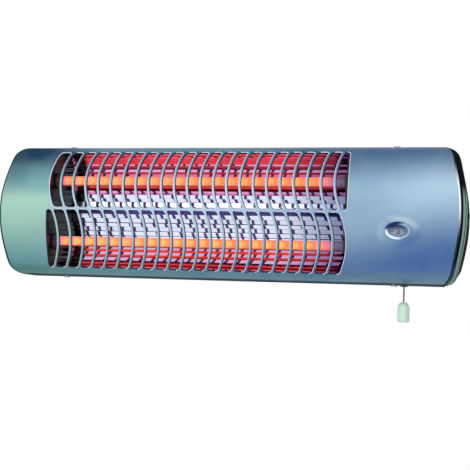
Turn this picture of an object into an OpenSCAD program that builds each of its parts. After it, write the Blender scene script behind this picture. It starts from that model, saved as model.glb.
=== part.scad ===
// Wall-mounted electric bar heater with two quartz tubes, a slotted sheet-metal front,
// a pull-cord switch with an indicator window, and a bracket that it tilts on.
// X runs along the heater, -Y faces the room, +Z is up. The wall is the plane y = 0.

/* [Case] */
// Length of the metal front at mid height
case_len = 488; // [460:1:540]
// Height of the case
case_h = 140; // [132:1:150]
// How far each end of the front bows outwards
end_bow = 15.5; // [8:0.5:20]
// Radius of the shallow front curve
nose_r = 140; // [125:1:180]
// Radius where the front turns into the top and bottom
corner_r = 22; // [18:1:26]
// Depth of the metal front, from its nose to its back edge
cover_depth = 62; // [58:1:66]
// Depth of the whole case, from the nose to the back of the pan
case_depth = 80; // [76:1:86]
// Height of the flat back of the pan
pan_back_h = 92; // [84:1:98]
// Thickness of the front sheet
sheet_t = 1; // [0.6:0.1:1.2]
// Thickness of the back pan's sheet
pan_t = 1; // [0.6:0.1:1.2]
// Space between the case and the wall
wall_gap = 23; // [21:1:40]

/* [Grille] */
// Plain length of the front left of the slots, at mid height
left_blank = 54.1; // [50:0.1:64]
// Plain length of the front right of the slots, over the switch
right_blank = 111.1; // [108:0.1:124]
// Spacing of the ribs
rib_pitch = 14.1; // [13.4:0.1:14.4]
// Width of a rib
rib_w = 3; // [2:0.1:4]
// How far each rib's arc bulges sideways
rib_bulge = 7; // [3:0.5:9]
// Height of the far ends of the slots above and below the middle
slot_reach = 62; // [58:0.5:62]
// Width of the bar between the two rows of slots
middle_bar = 3; // [2:0.5:6]

/* [Heating tubes] */
// Outer diameter of a quartz tube
tube_d = 10.8; // [9:0.1:12]
// Wall of a quartz tube
tube_wall = 1; // [0.8:0.1:1.5]
// Spacing of the two tubes
tube_spacing = 66; // [60:1:68]
// Depth of the tube axes behind the nose
tube_depth = 30; // [28:0.5:33]
// Unheated length at each end of a tube
cold_end = 14; // [10:1:20]
// Diameter of the ceramic tube caps
ceramic_d = 17; // [15:0.5:19]
// How far the ceramic caps reach into the reflector
ceramic_nose = 4; // [2:0.5:8]
// Length of the ceramic caps behind the end plates
ceramic_tail = 16; // [14:0.5:20]
// Diameter of the ceramic flange behind an end plate
ceramic_flange_d = 22; // [21:0.5:24]

/* [Reflector] */
// Thickness of the reflector sheet
reflector_t = 0.8; // [0.5:0.1:1.2]
// Depth of the reflector's outer edges behind the nose
reflector_front = 19.5; // [19:0.5:21]
// Depth of a trough from its edge to its bottom
trough_depth = 31; // [26:1:34]
// Distance of the reflector's edges from the top and bottom of the case
reflector_edge = 7; // [6:0.5:9]
// Flat strips in each trough
strip_count = 10; // [8:1:14]
// Thickness of the reflector's end plates
end_plate_t = 1.2; // [0.8:0.1:2]
// Space between the grille's ends and the end plates
end_plate_gap = 2; // [0.5:0.5:3]

/* [End caps] */
// How far the middle of a cap stands out from the metal
cap_rise = 6.7; // [5:0.1:9]
// Wall of the caps
cap_wall = 2.2; // [1.6:0.1:2.6]

/* [Wall bracket] */
// Distance of the tilt axis behind the nose
pivot_depth = 34; // [30:1:40]
// How far the heater tilts downwards, in degrees
tilt_down = 30; // [20:1:30]
// How far the heater tilts upwards, in degrees
tilt_up = 10; // [5:1:12]
// Diameter of the pivot screws
pivot_d = 5; // [4:0.5:6]
// Height of the bracket strip
bracket_h = 24; // [20:1:30]
// Width of the bracket arms
arm_w = 20; // [16:1:22]
// Thickness of the bracket
bracket_t = 2; // [1.5:0.1:2.5]
// Spacing of the two wall holes
wall_hole_spacing = 300; // [200:10:360]
// Diameter of the wall holes
wall_hole_d = 5.5; // [4.5:0.5:6.5]

/* [Pull switch] */
// Distance of the pull cord from the case's right end, at mid height
pull_from_end = 55.5; // [52:0.5:60]
// Distance of the pull cord behind the front's rounded lower edge
pull_setback = 3.8; // [3:0.1:7]
// Length of the pull
pull_travel = 12; // [8:1:14]
// Width of the switch body
switch_w = 38; // [34:1:42]
// Height of the switch body
switch_h = 40; // [38:1:44]
// Depth of the switch body
switch_d = 34; // [30:1:38]
// Height of the switch body's underside
switch_bottom = -30; // [-32:1:-28]
// Diameter of the toggle
toggle_d = 12.3; // [10:0.1:15]
// Length of the toggle
toggle_h = 20.7; // [16:0.1:26]
// Diameter of the pull cord
cord_d = 1.8; // [1.4:0.1:2.4]

/* [Indicator] */
// Distance of the window from the case's right end, at mid height
dial_from_end = 60; // [56:0.5:64]
// Height of the middle of the window
dial_z = -18.5; // [-22:0.5:-15]
// Length of the oval bezel
bezel_w = 26; // [24:0.5:28]
// Height of the oval bezel
bezel_h = 18; // [17:0.5:20]
// Length of the oval lens
lens_w = 18; // [15:0.5:19]
// Height of the oval lens
lens_h = 12.2; // [10:0.1:13]
// Diameter of the number disc
disc_d = 34; // [30:1:36]
// Distance of the disc's axis above the window
disc_offset = 11; // [10:0.5:12]

/* [Fasteners] */
// Distance of the case screws from the ends of the case, at mid height
case_screw_from_end = 66; // [56:1:72]
// Distance of the case screws behind the front's rounded edges
case_screw_setback = 5.8; // [5.5:0.1:10]
// Diameter of the case screws
case_screw_d = 3.5; // [3:0.1:4]
// Diameter of the case screws' heads
screw_head_d = 6.4; // [5.5:0.1:7]
// Height of the case screws' heads
screw_head_h = 2; // [1.2:0.1:2.4]

/* [Hidden] */

$fn = 96;
fit = 0.3; // gap between pieces that seat against each other
run = 0.08; // radial gap of a running fit
cut = 1; // how far a cutting shape runs past what it cuts

half_len = case_len / 2;
half_h = case_h / 2;
total_depth = case_depth + wall_gap;
curve_angle = asin((half_h - corner_r) / (nose_r - corner_r));
corner_depth = nose_r - (nose_r - corner_r) * cos(curve_angle);
case_screw_x = half_len - case_screw_from_end;
case_screw_depth = corner_depth + case_screw_setback;

// The pan slips inside the front sheet and closes the case behind it.
pan_inset = sheet_t + 0.2;
pan_half_len = half_len - end_bow - 2.5;
pan_lip = corner_depth + 2;
pan_wall_inset = pan_inset + pan_t + 0.4;

// The grille is point-symmetric: the upper arcs bulge left and the lower arcs bulge right.
row_bottom = middle_bar / 2;
row_h = slot_reach - row_bottom;
row_z = row_bottom + row_h / 2;
arc_r = (pow(row_h / 2, 2) + pow(rib_bulge, 2)) / (2 * rib_bulge);
grille_x = (left_blank - right_blank) / 2;
grille_half = (case_len - left_blank - right_blank) / 2;
rib_side_count = floor((grille_half - rib_w) / rib_pitch); // ribs on each side of the middle rib

plate_right = grille_x + grille_half - end_plate_gap;
plate_left = grille_x - grille_half - end_plate_gap;
plate_inset = pan_inset + pan_t + fit;
plate_back = case_depth - pan_t - fit;

tube_r = tube_d / 2;
tube_z = tube_spacing / 2;
trough_half_h = half_h - tube_z - reflector_edge;
trough_turn = 150; // how far round a trough's ellipse goes, in degrees
ridge_share = 0.4; // depth of the ridge between the tubes, as a share of a trough's
ceramic_r = ceramic_d / 2;
tube_inset = 6; // how far a tube stops short of a ceramic cap's outer end
flange_t = 3;
clip_t = 1;
clip_h = 26;
clip_d = 18;
stud_r = 1.6;
stud_out = 8; // how far the studs stand out of the ceramic caps
stud_in = 1.4;
lead_r = 0.8;
lead_out = 1;
nut_r = 3.4;
nut_h = 3;
strap_t = 1;
strap_w = 10;
left_flange = plate_left - fit;
right_flange = plate_right + end_plate_t + fit;
tube_start = left_flange - ceramic_tail + tube_inset;
tube_end = right_flange + ceramic_tail - tube_inset;

washer_t = 2.45;
arm_gap = 0.15;
arm_x = pan_half_len + washer_t + arm_gap;
arm_clear = 2.9; // room around a bracket arm in its slot
pivot_r = pivot_d / 2;
pivot_nut_r = pivot_r + 3;
pivot_nut_h = 4.5;
pivot_head_r = 3;
pivot_head_h = 2.6;
pivot_socket_r = 1.3;
pivot_socket_depth = 1.4;
pivot_seat = half_len + cap_rise - 1;
boss_r = 7;
washer_r = 9;

cap_seam = 0.15; // gap between a cap and the metal's edge
cap_step = 1.2; // height of a cap's rim over the metal
skirt_rise = 0.6;
// [share of the rise, less bow, drawn in at top and bottom, drawn in at the nose] of a cap's rings
cap_steps = [[0.45, 0.6, 0.8, 3.4], [0.72, 1.2, 2.2, 7], [0.91, 2.2, 4.4, 10.5], [1, 2.9, 8, 15]];
// Share of the height and of the depth by which the rings on the cap's flat middle are drawn in
cap_middle = [[0.4, 0.3], [0.7, 0.45]];
cap_centre = 0.55;

dial_x = half_len - dial_from_end;
pull_x = half_len - pull_from_end;
pull_depth = corner_depth + pull_setback;
switch_x = dial_x + 2;
switch_front = 14;
switch_back = switch_front + switch_d;
switch_strap_w = 24;
switch_strap_t = 1.5;
switch_foot_h = 14;
lever_r = 1.5;
lever_head_r = 3.8;
lever_head_h = 3;
spring_r = 3.5;
spring_bore_r = 2;
spring_floor = 2.5;
spring_closed = 7.5; // length left when the cord is pulled all the way
spring_seat = switch_bottom + spring_floor;
spring_top = spring_seat + spring_closed + pull_travel;
lever_top = spring_top + lever_head_h;
lever_bottom = -50;
disc_z = dial_z + disc_offset;
disc_depth = 5.6;
disc_t = 1.6;
shaft_r = 2;
shaft_end = switch_front + 8;

bezel_rim = 0.9; // how far the bezel stands in front of the metal
bezel_lip_t = 0.8;
bezel_neck = 1; // how much narrower the bezel's neck is, all round
bezel_back = 2.6;
lens_front = 0.9;
lens_t = 1;

grommet_r = 5.1;
grommet_neck_r = 3.8;
grommet_bore_r = 1.6;
grommet_dome = 2.3;
grommet_back = 3;
grommet_lip = 0.6;
toggle_top = -87.3;
cord_points = [for (z = [lever_bottom, -52.5, -55, -57.5, -60, -62.5, -65, -67.5,
        -70, -72.5, -75, -77.5, -80, -82.5, -85, toggle_top])
    [pull_x, pull_depth, z]];

block_size = [30, 13, 18];
block_x = pan_half_len - 20;
block_z = 26;
block_face = plate_back - block_size[1];
block_pitch = 9;
block_hole_r = 2;
block_hole_depth = 6;
gland_x = block_x - 56;
gland_z = 20;
gland_r = 9;
gland_bore_r = 3.6;
gland_neck_r = 6.5;
gland_out = 11;
gland_collar = 4;
gland_in = 6;
cutout_z = 0;
cutout_depth = trough_depth + 25;
cutout_r = 8;
cutout_h = 9;
cutout_flange = [1, 8, 28];
stud_x = gland_x + 15;
stud_z = 42;
stud_h = 10;
stud_nut_r = 4;
stud_nut_h = 3;

// The wires' routes, from the terminal block's face, the switch's back and the tubes' studs.
wire_r = 1.1;
wire_gap = 0.5;
wire_depth = (block_face + switch_back) / 2;
wire_end = right_flange + ceramic_tail + stud_out + wire_r;
live_points = [[block_x - block_pitch, block_face + 4.3, block_z],
    [block_x - block_pitch, block_face - 1.7, block_z], [block_x - 11, wire_depth + 3, 25.5],
    [block_x - 16, wire_depth + 1, 24], [switch_x - 4, wire_depth - 1, 20],
    [switch_x - 11, wire_depth - 2, 14], [switch_x - 15, wire_depth - 4, 9],
    [switch_x - 15.5, switch_back + wire_gap, 7]];
upper_points = [[switch_x - 6, switch_back + wire_gap, 7], [switch_x - 6, switch_back + 4, 7.3],
    [switch_x - 9, wire_depth - 1, 9], [switch_x - 15, wire_depth + 1.5, 15],
    [wire_end + 6.5, wire_depth - 1, 24], [wire_end + 2.5, 48, tube_z - 2],
    [wire_end + 0.5, tube_depth + 8, tube_z + 1], [wire_end, tube_depth + 2, tube_z]];
lower_points = [[switch_x - 6, switch_back + wire_gap, -27], [switch_x - 6, switch_back + 4, -27],
    [switch_x - 9, wire_depth - 1, -28], [switch_x - 15, wire_depth + 0.5, -30],
    [wire_end + 6.5, wire_depth - 3, -33], [wire_end + 2.5, 46, -tube_z - 2],
    [wire_end + 0.5, tube_depth + 8, -tube_z - 2], [wire_end, tube_depth + 2, -tube_z]];
cutout_points = [[right_flange + 9, cutout_depth, 3], [right_flange + 12.6, wire_depth, 4],
    [right_flange + 19.6, wire_depth + 3, 8], [right_flange + 31.6, wire_depth + 7, 18],
    [switch_x - 8, wire_depth + 5, 29], [block_x - 14, wire_depth + 2, 31],
    [block_x - 4, wire_depth + 1.5, 29], [block_x, block_face - 3.7, 26.5],
    [block_x, block_face + 4.3, block_z]];

zinc = "#c9ced2";
satin_metal = "#a9bdc8";
dark_plastic = "#2b3a3c";
white_plastic = "#eef5f0";
ceramic_white = "#e6e0d4";

// Shapes that several parts share. Case parts are drawn with y as the depth behind the nose.

module in_case() {
    translate([0, -total_depth, 0]) children();
}

// Draws a [depth, height] outline and runs it along X.
module along_x(x0, x1) {
    translate([x0, 0, 0]) rotate([90, 0, 90]) linear_extrude(x1 - x0) children();
}

// Draws an [x, height] outline and runs it along the depth.
module along_y(y0, y1) {
    translate([0, y1, 0]) rotate([90, 0, 0]) linear_extrude(y1 - y0) children();
}

// A round bar along the depth.
module bar_y(x, z, y0, y1, r) {
    translate([x, y1, z]) rotate([90, 0, 0]) cylinder(h = y1 - y0, r = r);
}

// A round bar along X.
module bar_x(x0, x1, y, z, r) {
    translate([x0, y, z]) rotate([0, 90, 0]) cylinder(h = x1 - x0, r = r);
}

module both_ends() {
    children();
    mirror([1, 0, 0]) children();
}

// [depth, height] points of the front's section from the top to the bottom, drawn in by an
// inset: a corner arc, the shallow front curve and the other corner arc.
function front_points(inset, steps, corner_steps) =
    let (r = corner_r - inset, front_r = nose_r - inset, corner_z = half_h - corner_r,
        corner = [for (i = [0:corner_steps - 1])
            let (a = 90 + (90 - curve_angle) * i / corner_steps)
            [corner_depth + r * cos(a), corner_z + r * sin(a)]])
    concat(corner,
        [for (i = [0:steps])
            let (a = curve_angle * (1 - 2 * i / steps))
            [nose_r - front_r * cos(a), front_r * sin(a)]],
        [for (i = [corner_steps - 1:-1:0]) [corner[i][0], -corner[i][1]]]);

// A bar with the section of the front sheet, cut off at a depth.
module case_bar(inset, depth, x0, x1) {
    top = half_h - inset;
    along_x(x0, x1) polygon(concat(front_points(inset, 16, 8), [[depth, -top], [depth, top]]));
}

// The tapered back of the case, drawn in by an inset, from the given depth.
module back_section(inset, from) {
    shoulder = half_h - pan_inset - inset;
    back = pan_back_h / 2 - inset / 2;
    polygon([[from, shoulder], [cover_depth - 1, shoulder], [case_depth - inset, back],
        [case_depth - inset, -back], [cover_depth - 1, -shoulder], [from, -shoulder]]);
}

// A bar with the whole section of the case, as the walls inside it and the caps follow it.
module closed_bar(inset, back_inset, x0, x1) {
    case_bar(inset, cover_depth - 2, x0, x1);
    along_x(x0, x1) back_section(back_inset, pan_lip);
}

// The front view of the case with its bowed ends, made longer by a rise.
module front_outline(rise, bow) {
    reach = half_len + rise;
    bow_r = (pow(half_h, 2) + pow(bow, 2)) / (2 * bow);
    intersection() {
        square([2 * reach + cut, case_h + cut], center = true);
        union() {
            square([2 * (reach - bow - corner_r), case_h + cut], center = true);
            for (side = [-1, 1]) translate([side * (reach - bow_r), 0]) circle(r = bow_r);
        }
    }
}

// Points of the case's closed section, which the rings of an end cap follow.
function cap_outline() =
    concat(front_points(0, 12, 6),
        [[cover_depth - 1, -half_h], [case_depth, -pan_back_h / 2],
            [case_depth, pan_back_h / 2], [cover_depth - 1, half_h]]);

// One ring of a cap: it stands out from the metal by a rise, and is drawn in at the top and
// bottom by side and at the nose by front. A flat ring stands at one x.
function cap_ring(rise, bow, side, front, flat = 0) =
    let (keep = (case_depth - 1.5 * front) / case_depth)
    [for (p = cap_outline())
        let (z = p[1] * (half_h - side) / half_h)
        [flat > 0 ? flat : half_len + rise - bow * pow(z / half_h, 2), front + p[0] * keep, z]];

// A cap's rings from inside the case to near the middle of its face, for a wall at a drop.
function cap_rings(drop) =
    concat(
        [cap_ring(0, 0, drop, drop, pan_half_len - corner_r),
            cap_ring(-drop, end_bow, drop, drop),
            cap_ring(cap_step - drop, end_bow, drop, drop)],
        [for (s = cap_steps)
            cap_ring(s[0] * cap_rise - drop, end_bow - s[1], s[2] + drop, s[3] + drop)],
        [for (m = cap_middle)
            cap_ring(cap_rise - drop, end_bow - cap_steps[3][1], half_h * m[0], case_depth * m[1])]);

// A closed solid with a cap's outer or inner form.
module cap_form(drop) {
    rings = cap_rings(drop);
    n = len(cap_outline());
    last = len(rings) - 1;
    middle = (last + 1) * n;
    polyhedron(
        points = concat([for (r = rings) each r],
            [[half_len + cap_rise - drop, case_depth * cap_centre, 0]]),
        faces = concat(
            [[for (k = [0:n - 1]) k]],
            [for (i = [0:last - 1]) for (k = [0:n - 1])
                let (m = (k + 1) % n, a = i * n, b = (i + 1) * n)
                each [[a + k, b + m, a + m], [a + k, b + k, b + m]]],
            [for (k = [0:n - 1]) [last * n + k, middle, last * n + (k + 1) % n]]));
}

function ellipse(w, h, count = 40) =
    [for (i = [0:count - 1]) [w / 2 * cos(360 * i / count), h / 2 * sin(360 * i / count)]];

// Turns something drawn at the nose to the window's place on the front curve.
module at_window() {
    translate([dial_x, nose_r, 0]) rotate([asin(-dial_z / nose_r), 0, 0]) translate([0, -nose_r, 0])
        children();
}

// A tube of eight sides swept along a route.
function unit(v) = v / norm(v);
function heading(route, i) = unit(route[min(i + 1, len(route) - 1)] - route[max(i - 1, 0)]);
function ring(route, i, r, sides) =
    let (t = heading(route, i), u = unit(cross(t, [1, 2, 3])), v = cross(t, u))
    [for (k = [0:sides - 1]) route[i] + r * (cos(360 * k / sides) * u + sin(360 * k / sides) * v)];

module swept_tube(route, r, sides = 8) {
    last = len(route) - 1;
    polyhedron(
        points = [for (i = [0:last]) each ring(route, i, r, sides)],
        faces = concat(
            [[for (k = [sides - 1:-1:0]) k]],
            [for (i = [0:last - 1]) for (k = [0:sides - 1])
                let (n = (k + 1) % sides, a = i * sides, b = (i + 1) * sides)
                each [[a + k, a + n, b + n], [a + k, b + n, b + k]]],
            [[for (k = [0:sides - 1]) last * sides + k]]));
}

// The bracket and what it carries the case on

module wall_bracket() color(zinc)
    difference() {
        union() {
            translate([-arm_x - bracket_t, -bracket_t, -bracket_h / 2])
                cube([2 * (arm_x + bracket_t), bracket_t, bracket_h]);
            both_ends() in_case()
                along_x(arm_x, arm_x + bracket_t) {
                    translate([pivot_depth, -arm_w / 2])
                        square([total_depth - pivot_depth - bracket_t / 2, arm_w]);
                    translate([pivot_depth, 0]) circle(d = arm_w);
                }
        }
        for (side = [-1, 1])
            bar_y(side * wall_hole_spacing / 2, 0, -bracket_t - cut, cut, wall_hole_d / 2);
        in_case() bar_x(-half_len, half_len, pivot_depth, 0, pivot_r + run);
    }

module pivot_screw_right() color(dark_plastic)
    in_case()
        difference() {
            union() {
                bar_x(pan_half_len - pan_t - pivot_nut_h, pivot_seat + cut, pivot_depth, 0, pivot_r);
                bar_x(pivot_seat, pivot_seat + pivot_head_h, pivot_depth, 0, pivot_head_r);
            }
            bar_x(pivot_seat + pivot_head_h - pivot_socket_depth, case_len, pivot_depth, 0,
                pivot_socket_r);
        }

module pivot_screw_left() mirror([1, 0, 0]) pivot_screw_right();

module pivot_nuts() color(zinc)
    both_ends() in_case()
        difference() {
            bar_x(pan_half_len - pan_t - pivot_nut_h, pan_half_len - pan_t, pivot_depth, 0, pivot_nut_r);
            bar_x(0, half_len, pivot_depth, 0, pivot_r);
        }

module friction_washers() color("#5a4a3a")
    both_ends() in_case()
        difference() {
            bar_x(pan_half_len, arm_x - arm_gap, pivot_depth, 0, washer_r);
            bar_x(0, half_len, pivot_depth, 0, pivot_r + run);
        }

// The sheet-metal case

module rib_centre_disc(index, r) {
    translate([grille_x + index * rib_pitch - rib_bulge + arc_r, row_z]) circle(r = r);
}

// One slot between two ribs of the upper row. The last slot ends in a straight edge.
module slot(index) {
    intersection() {
        translate([grille_x - half_len, row_bottom]) square([half_len + grille_half, row_h]);
        difference() {
            rib_centre_disc(index, arc_r - rib_w / 2);
            if (index < rib_side_count) rib_centre_disc(index + 1, arc_r + rib_w / 2);
        }
    }
}

module slot_row() {
    for (index = [-rib_side_count:rib_side_count]) slot(index);
}

module front_cover() color(satin_metal)
    in_case()
        difference() {
            intersection() {
                difference() {
                    case_bar(0, cover_depth, -half_len - cut, half_len + cut);
                    case_bar(sheet_t, cover_depth + cut, -half_len - 2 * cut, half_len + 2 * cut);
                }
                along_y(-cut, cover_depth + cut) front_outline(0, end_bow);
            }
            along_y(-cut, corner_depth) {
                slot_row();
                translate([2 * grille_x, 0]) rotate(180) slot_row();
            }
            at_window() along_y(-cut, corner_depth / 2)
                polygon(ellipse(bezel_w - 2 * bezel_neck + 0.4, bezel_h - 2 * bezel_neck + 0.4));
            translate([pull_x, pull_depth, -half_h - cut])
                cylinder(h = corner_r, r = grommet_neck_r + fit / 2);
            for (x = [-case_screw_x, case_screw_x])
                translate([x, case_screw_depth, -half_h - cut])
                    cylinder(h = case_h + 2 * cut, r = case_screw_d / 2 + fit / 2);
        }

module back_pan() color(zinc)
    in_case()
        difference() {
            union() {
                along_x(-pan_half_len, pan_half_len)
                    difference() {
                        back_section(0, pan_lip);
                        back_section(pan_t, pan_lip - cut);
                    }
                both_ends() closed_bar(pan_wall_inset, pan_t / 2, pan_half_len - pan_t, pan_half_len);
            }
            bar_x(-half_len, half_len, pivot_depth, 0, pivot_r + run);
            bar_y(gland_x, gland_z, case_depth - 2 * pan_t, case_depth + cut, gland_neck_r + fit / 2);
            for (x = [-case_screw_x, case_screw_x])
                translate([x, case_screw_depth, -half_h - cut])
                    cylinder(h = case_h + 2 * cut, r = case_screw_d / 2);
            translate([pull_x, pull_depth, -half_h - cut]) cylinder(h = corner_r, r = grommet_r + fit);
        }

// The room that a bracket arm sweeps at the back of a cap.
module arm_slot() {
    lever = case_depth - pivot_depth;
    low = lever * tan(tilt_down) + arm_w / 2 / cos(tilt_down) + arm_clear;
    high = lever * tan(tilt_up) + arm_w / 2 / cos(tilt_up) + arm_clear;
    translate([0, cover_depth - 2, -low]) cube([arm_x + bracket_t + 1.5, case_depth, low + high]);
}

module end_cap_right() color(dark_plastic)
    in_case()
        difference() {
            union() {
                difference() {
                    cap_form(0);
                    along_y(-cut, case_depth + cut) front_outline(cap_seam, end_bow);
                    cap_form(cap_wall);
                }
                intersection() {
                    difference() {
                        closed_bar(pan_inset, 0, pan_half_len + fit, half_len);
                        closed_bar(pan_inset + cap_wall, cap_wall, pan_half_len, half_len + cut);
                    }
                    along_y(-cut, case_depth + cut) front_outline(skirt_rise, end_bow);
                }
                bar_x(arm_x + bracket_t + arm_gap, pivot_seat, pivot_depth, 0, boss_r);
            }
            bar_x(0, case_len, pivot_depth, 0, pivot_r + run);
            bar_x(pivot_seat, case_len, pivot_depth, 0, pivot_head_r + fit);
            arm_slot();
        }

module end_cap_left() mirror([1, 0, 0]) end_cap_right();

module case_screws() color(zinc)
    in_case()
        for (x = [-case_screw_x, case_screw_x], side = [0, 1])
            mirror([0, 0, side]) translate([x, case_screw_depth, 0])
                difference() {
                    union() {
                        translate([0, 0, half_h - 9]) cylinder(h = 9.5, r = case_screw_d / 2);
                        translate([0, 0, half_h]) cylinder(h = screw_head_h, r = screw_head_d / 2);
                    }
                    translate([-screw_head_d / 10, -screw_head_d, half_h + screw_head_h - 0.8])
                        cube([screw_head_d / 5, 2 * screw_head_d, 2]);
                }

// The reflector and the heating tubes

// Half of the reflector's line, from its outer edge to the ridge between the tubes.
function trough(grow) =
    [for (i = [0:strip_count]) let (a = trough_turn * i / strip_count)
        [reflector_front + (trough_depth + grow) * sin(a), tube_z + (trough_half_h + grow) * cos(a)]];

function reflector_line(grow) =
    let (ridge = [reflector_front + trough_depth * ridge_share + 1.4 * grow, 0], upper = trough(grow))
    concat(upper, [ridge], [for (i = [strip_count:-1:0]) [upper[i][0], -upper[i][1]]]);

module reflector() color("#dfe3e8")
    in_case()
        along_x(plate_left + end_plate_t, plate_right)
            polygon(concat(reflector_line(0), [for (i = [2 * strip_count + 2:-1:0])
                reflector_line(reflector_t)[i]]));

module end_plate(x) {
    in_case()
        difference() {
            closed_bar(plate_inset, pan_t + fit, x, x + end_plate_t);
            for (side = [-1, 1])
                bar_x(x - cut, x + end_plate_t + cut, tube_depth, side * tube_z, ceramic_r + 0.2);
        }
}

module end_plate_left() color("#3c4046") end_plate(plate_left);

module end_plate_right() color("#3c4046") end_plate(plate_right);

module tube(side) {
    in_case()
        difference() {
            bar_x(tube_start, tube_end, tube_depth, side * tube_z, tube_r);
            bar_x(tube_start - cut, tube_end + cut, tube_depth, side * tube_z, tube_r - tube_wall);
        }
}

module tube_upper() color("#f6a04a", 0.6) tube(1);

module tube_lower() color("#f6a04a", 0.6) tube(-1);

// The wound wire, as the solid that its close turns fill, with its two straight leads.
module coil(side) {
    in_case() {
        bar_x(plate_left + cold_end, plate_right - cold_end, tube_depth, side * tube_z,
            tube_r - tube_wall - fit);
        bar_x(tube_start - lead_out, tube_end + lead_out, tube_depth, side * tube_z, lead_r);
    }
}

module coil_upper() color("#ff8a1e") coil(1);

module coil_lower() color("#ff8a1e") coil(-1);

// A ceramic cap on the right-hand end of a tube, drawn for a flange at x = 0.
module ceramic_cap(side) {
    reach = end_plate_t + fit + ceramic_nose;
    difference() {
        union() {
            bar_x(-reach, ceramic_tail, tube_depth, side * tube_z, ceramic_r);
            bar_x(0, flange_t, tube_depth, side * tube_z, ceramic_flange_d / 2);
        }
        bar_x(-reach - cut, ceramic_tail - tube_inset + fit, tube_depth, side * tube_z, tube_r + 0.1);
        bar_x(-reach, ceramic_tail + cut, tube_depth, side * tube_z, stud_r);
    }
}

module ceramic_right(side) {
    in_case() translate([right_flange, 0, 0]) ceramic_cap(side);
}

module ceramic_left(side) {
    in_case() translate([left_flange, 0, 0]) mirror([1, 0, 0]) ceramic_cap(side);
}

module ceramic_upper_left() color(ceramic_white) ceramic_left(1);

module ceramic_lower_left() color(ceramic_white) ceramic_left(-1);

module ceramic_upper_right() color(ceramic_white) ceramic_right(1);

module ceramic_lower_right() color(ceramic_white) ceramic_right(-1);

// Spring-steel plates that hold the ceramic flanges against the end plates.
module tube_clips() color(zinc)
    in_case()
        for (x = [left_flange - flange_t - 0.1 - clip_t, right_flange + flange_t + 0.1], side = [-1, 1])
            difference() {
                translate([x, tube_depth - clip_d / 2, side * tube_z - clip_h / 2])
                    cube([clip_t, clip_d, clip_h]);
                bar_x(x - cut, x + clip_t + cut, tube_depth, side * tube_z, ceramic_r + 0.2);
            }

// Each tube end has a stud with a nut that holds the wire or the strap.
module terminal_stud(side) {
    seat = ceramic_tail + strap_t + 0.4;
    bar_x(ceramic_tail - tube_inset + stud_in, ceramic_tail + stud_out, tube_depth, side * tube_z,
        stud_r - 0.1);
    bar_x(seat, seat + nut_h, tube_depth, side * tube_z, nut_r);
}

module terminal_screws() color("#b8a878")
    in_case()
        for (side = [-1, 1]) {
            translate([right_flange, 0, 0]) terminal_stud(side);
            translate([left_flange, 0, 0]) mirror([1, 0, 0]) terminal_stud(side);
        }

// Joins the two tubes' left-hand ends.
module link_strap() color("#b8a878")
    in_case()
        difference() {
            translate([left_flange - ceramic_tail - strap_t - 0.2, tube_depth - strap_w / 2,
                    -tube_z - strap_w / 2])
                cube([strap_t, strap_w, 2 * tube_z + strap_w]);
            for (side = [-1, 1])
                bar_x(left_flange - case_depth, left_flange, tube_depth, side * tube_z, stud_r + 0.1);
        }

// The pull switch and its indicator

module switch_body() color("#d8d4c8")
    in_case()
        difference() {
            translate([switch_x - switch_w / 2, switch_front, switch_bottom])
                cube([switch_w, switch_d, switch_h]);
            translate([pull_x, pull_depth, spring_seat]) cylinder(h = switch_h, r = lever_head_r + 0.3);
            translate([pull_x, pull_depth, switch_bottom - cut])
                cylinder(h = spring_floor + 2 * cut, r = lever_r + run);
            bar_y(dial_x, disc_z, switch_front - cut, shaft_end + fit, shaft_r + run);
        }

// Holds the switch to the back pan: a plate on the switch, an arm and a foot on the pan.
module switch_bracket() color(zinc)
    in_case() translate([switch_x - switch_strap_w / 2, 0, 0]) {
        arm_z = switch_bottom + switch_h - 7.5;
        translate([0, switch_back, switch_bottom + switch_foot_h - 8])
            cube([switch_strap_w, switch_strap_t, switch_h - 12]);
        translate([0, switch_back, arm_z])
            cube([switch_strap_w, plate_back - switch_back, switch_strap_t]);
        translate([0, plate_back - switch_strap_t, arm_z + switch_strap_t - switch_foot_h])
            cube([switch_strap_w, switch_strap_t, switch_foot_h]);
    }

module pull_lever() color("#d8d4c8")
    in_case() translate([pull_x, pull_depth, 0]) {
        translate([0, 0, lever_bottom]) cylinder(h = lever_top - lever_bottom, r = lever_r);
        translate([0, 0, lever_top - lever_head_h]) cylinder(h = lever_head_h, r = lever_head_r);
    }

// Seen from nowhere outside, so its turns are one sleeve.
module return_spring() color(zinc)
    in_case() translate([pull_x, pull_depth, spring_seat])
        difference() {
            cylinder(h = spring_top - spring_seat, r = spring_r);
            translate([0, 0, -cut]) cylinder(h = switch_h, r = spring_bore_r);
        }

module number_disc() color("#f2f0ea")
    in_case() {
        bar_y(dial_x, disc_z, disc_depth, disc_depth + disc_t, disc_d / 2);
        bar_y(dial_x, disc_z, disc_depth, shaft_end, shaft_r);
    }

module dial_bezel() color("#cfd6da")
    in_case() at_window()
        difference() {
            union() {
                along_y(-bezel_rim, bezel_lip_t - bezel_rim) polygon(ellipse(bezel_w, bezel_h));
                along_y(-bezel_rim / 2, bezel_back)
                    polygon(ellipse(bezel_w - 2 * bezel_neck, bezel_h - 2 * bezel_neck));
            }
            along_y(-bezel_rim - cut, bezel_back + cut) polygon(ellipse(lens_w, lens_h));
        }

module dial_lens() color("#dfe9ee", 0.5)
    in_case() at_window()
        along_y(lens_front, lens_front + lens_t) polygon(ellipse(lens_w - 0.2, lens_h - 0.2));

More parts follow.
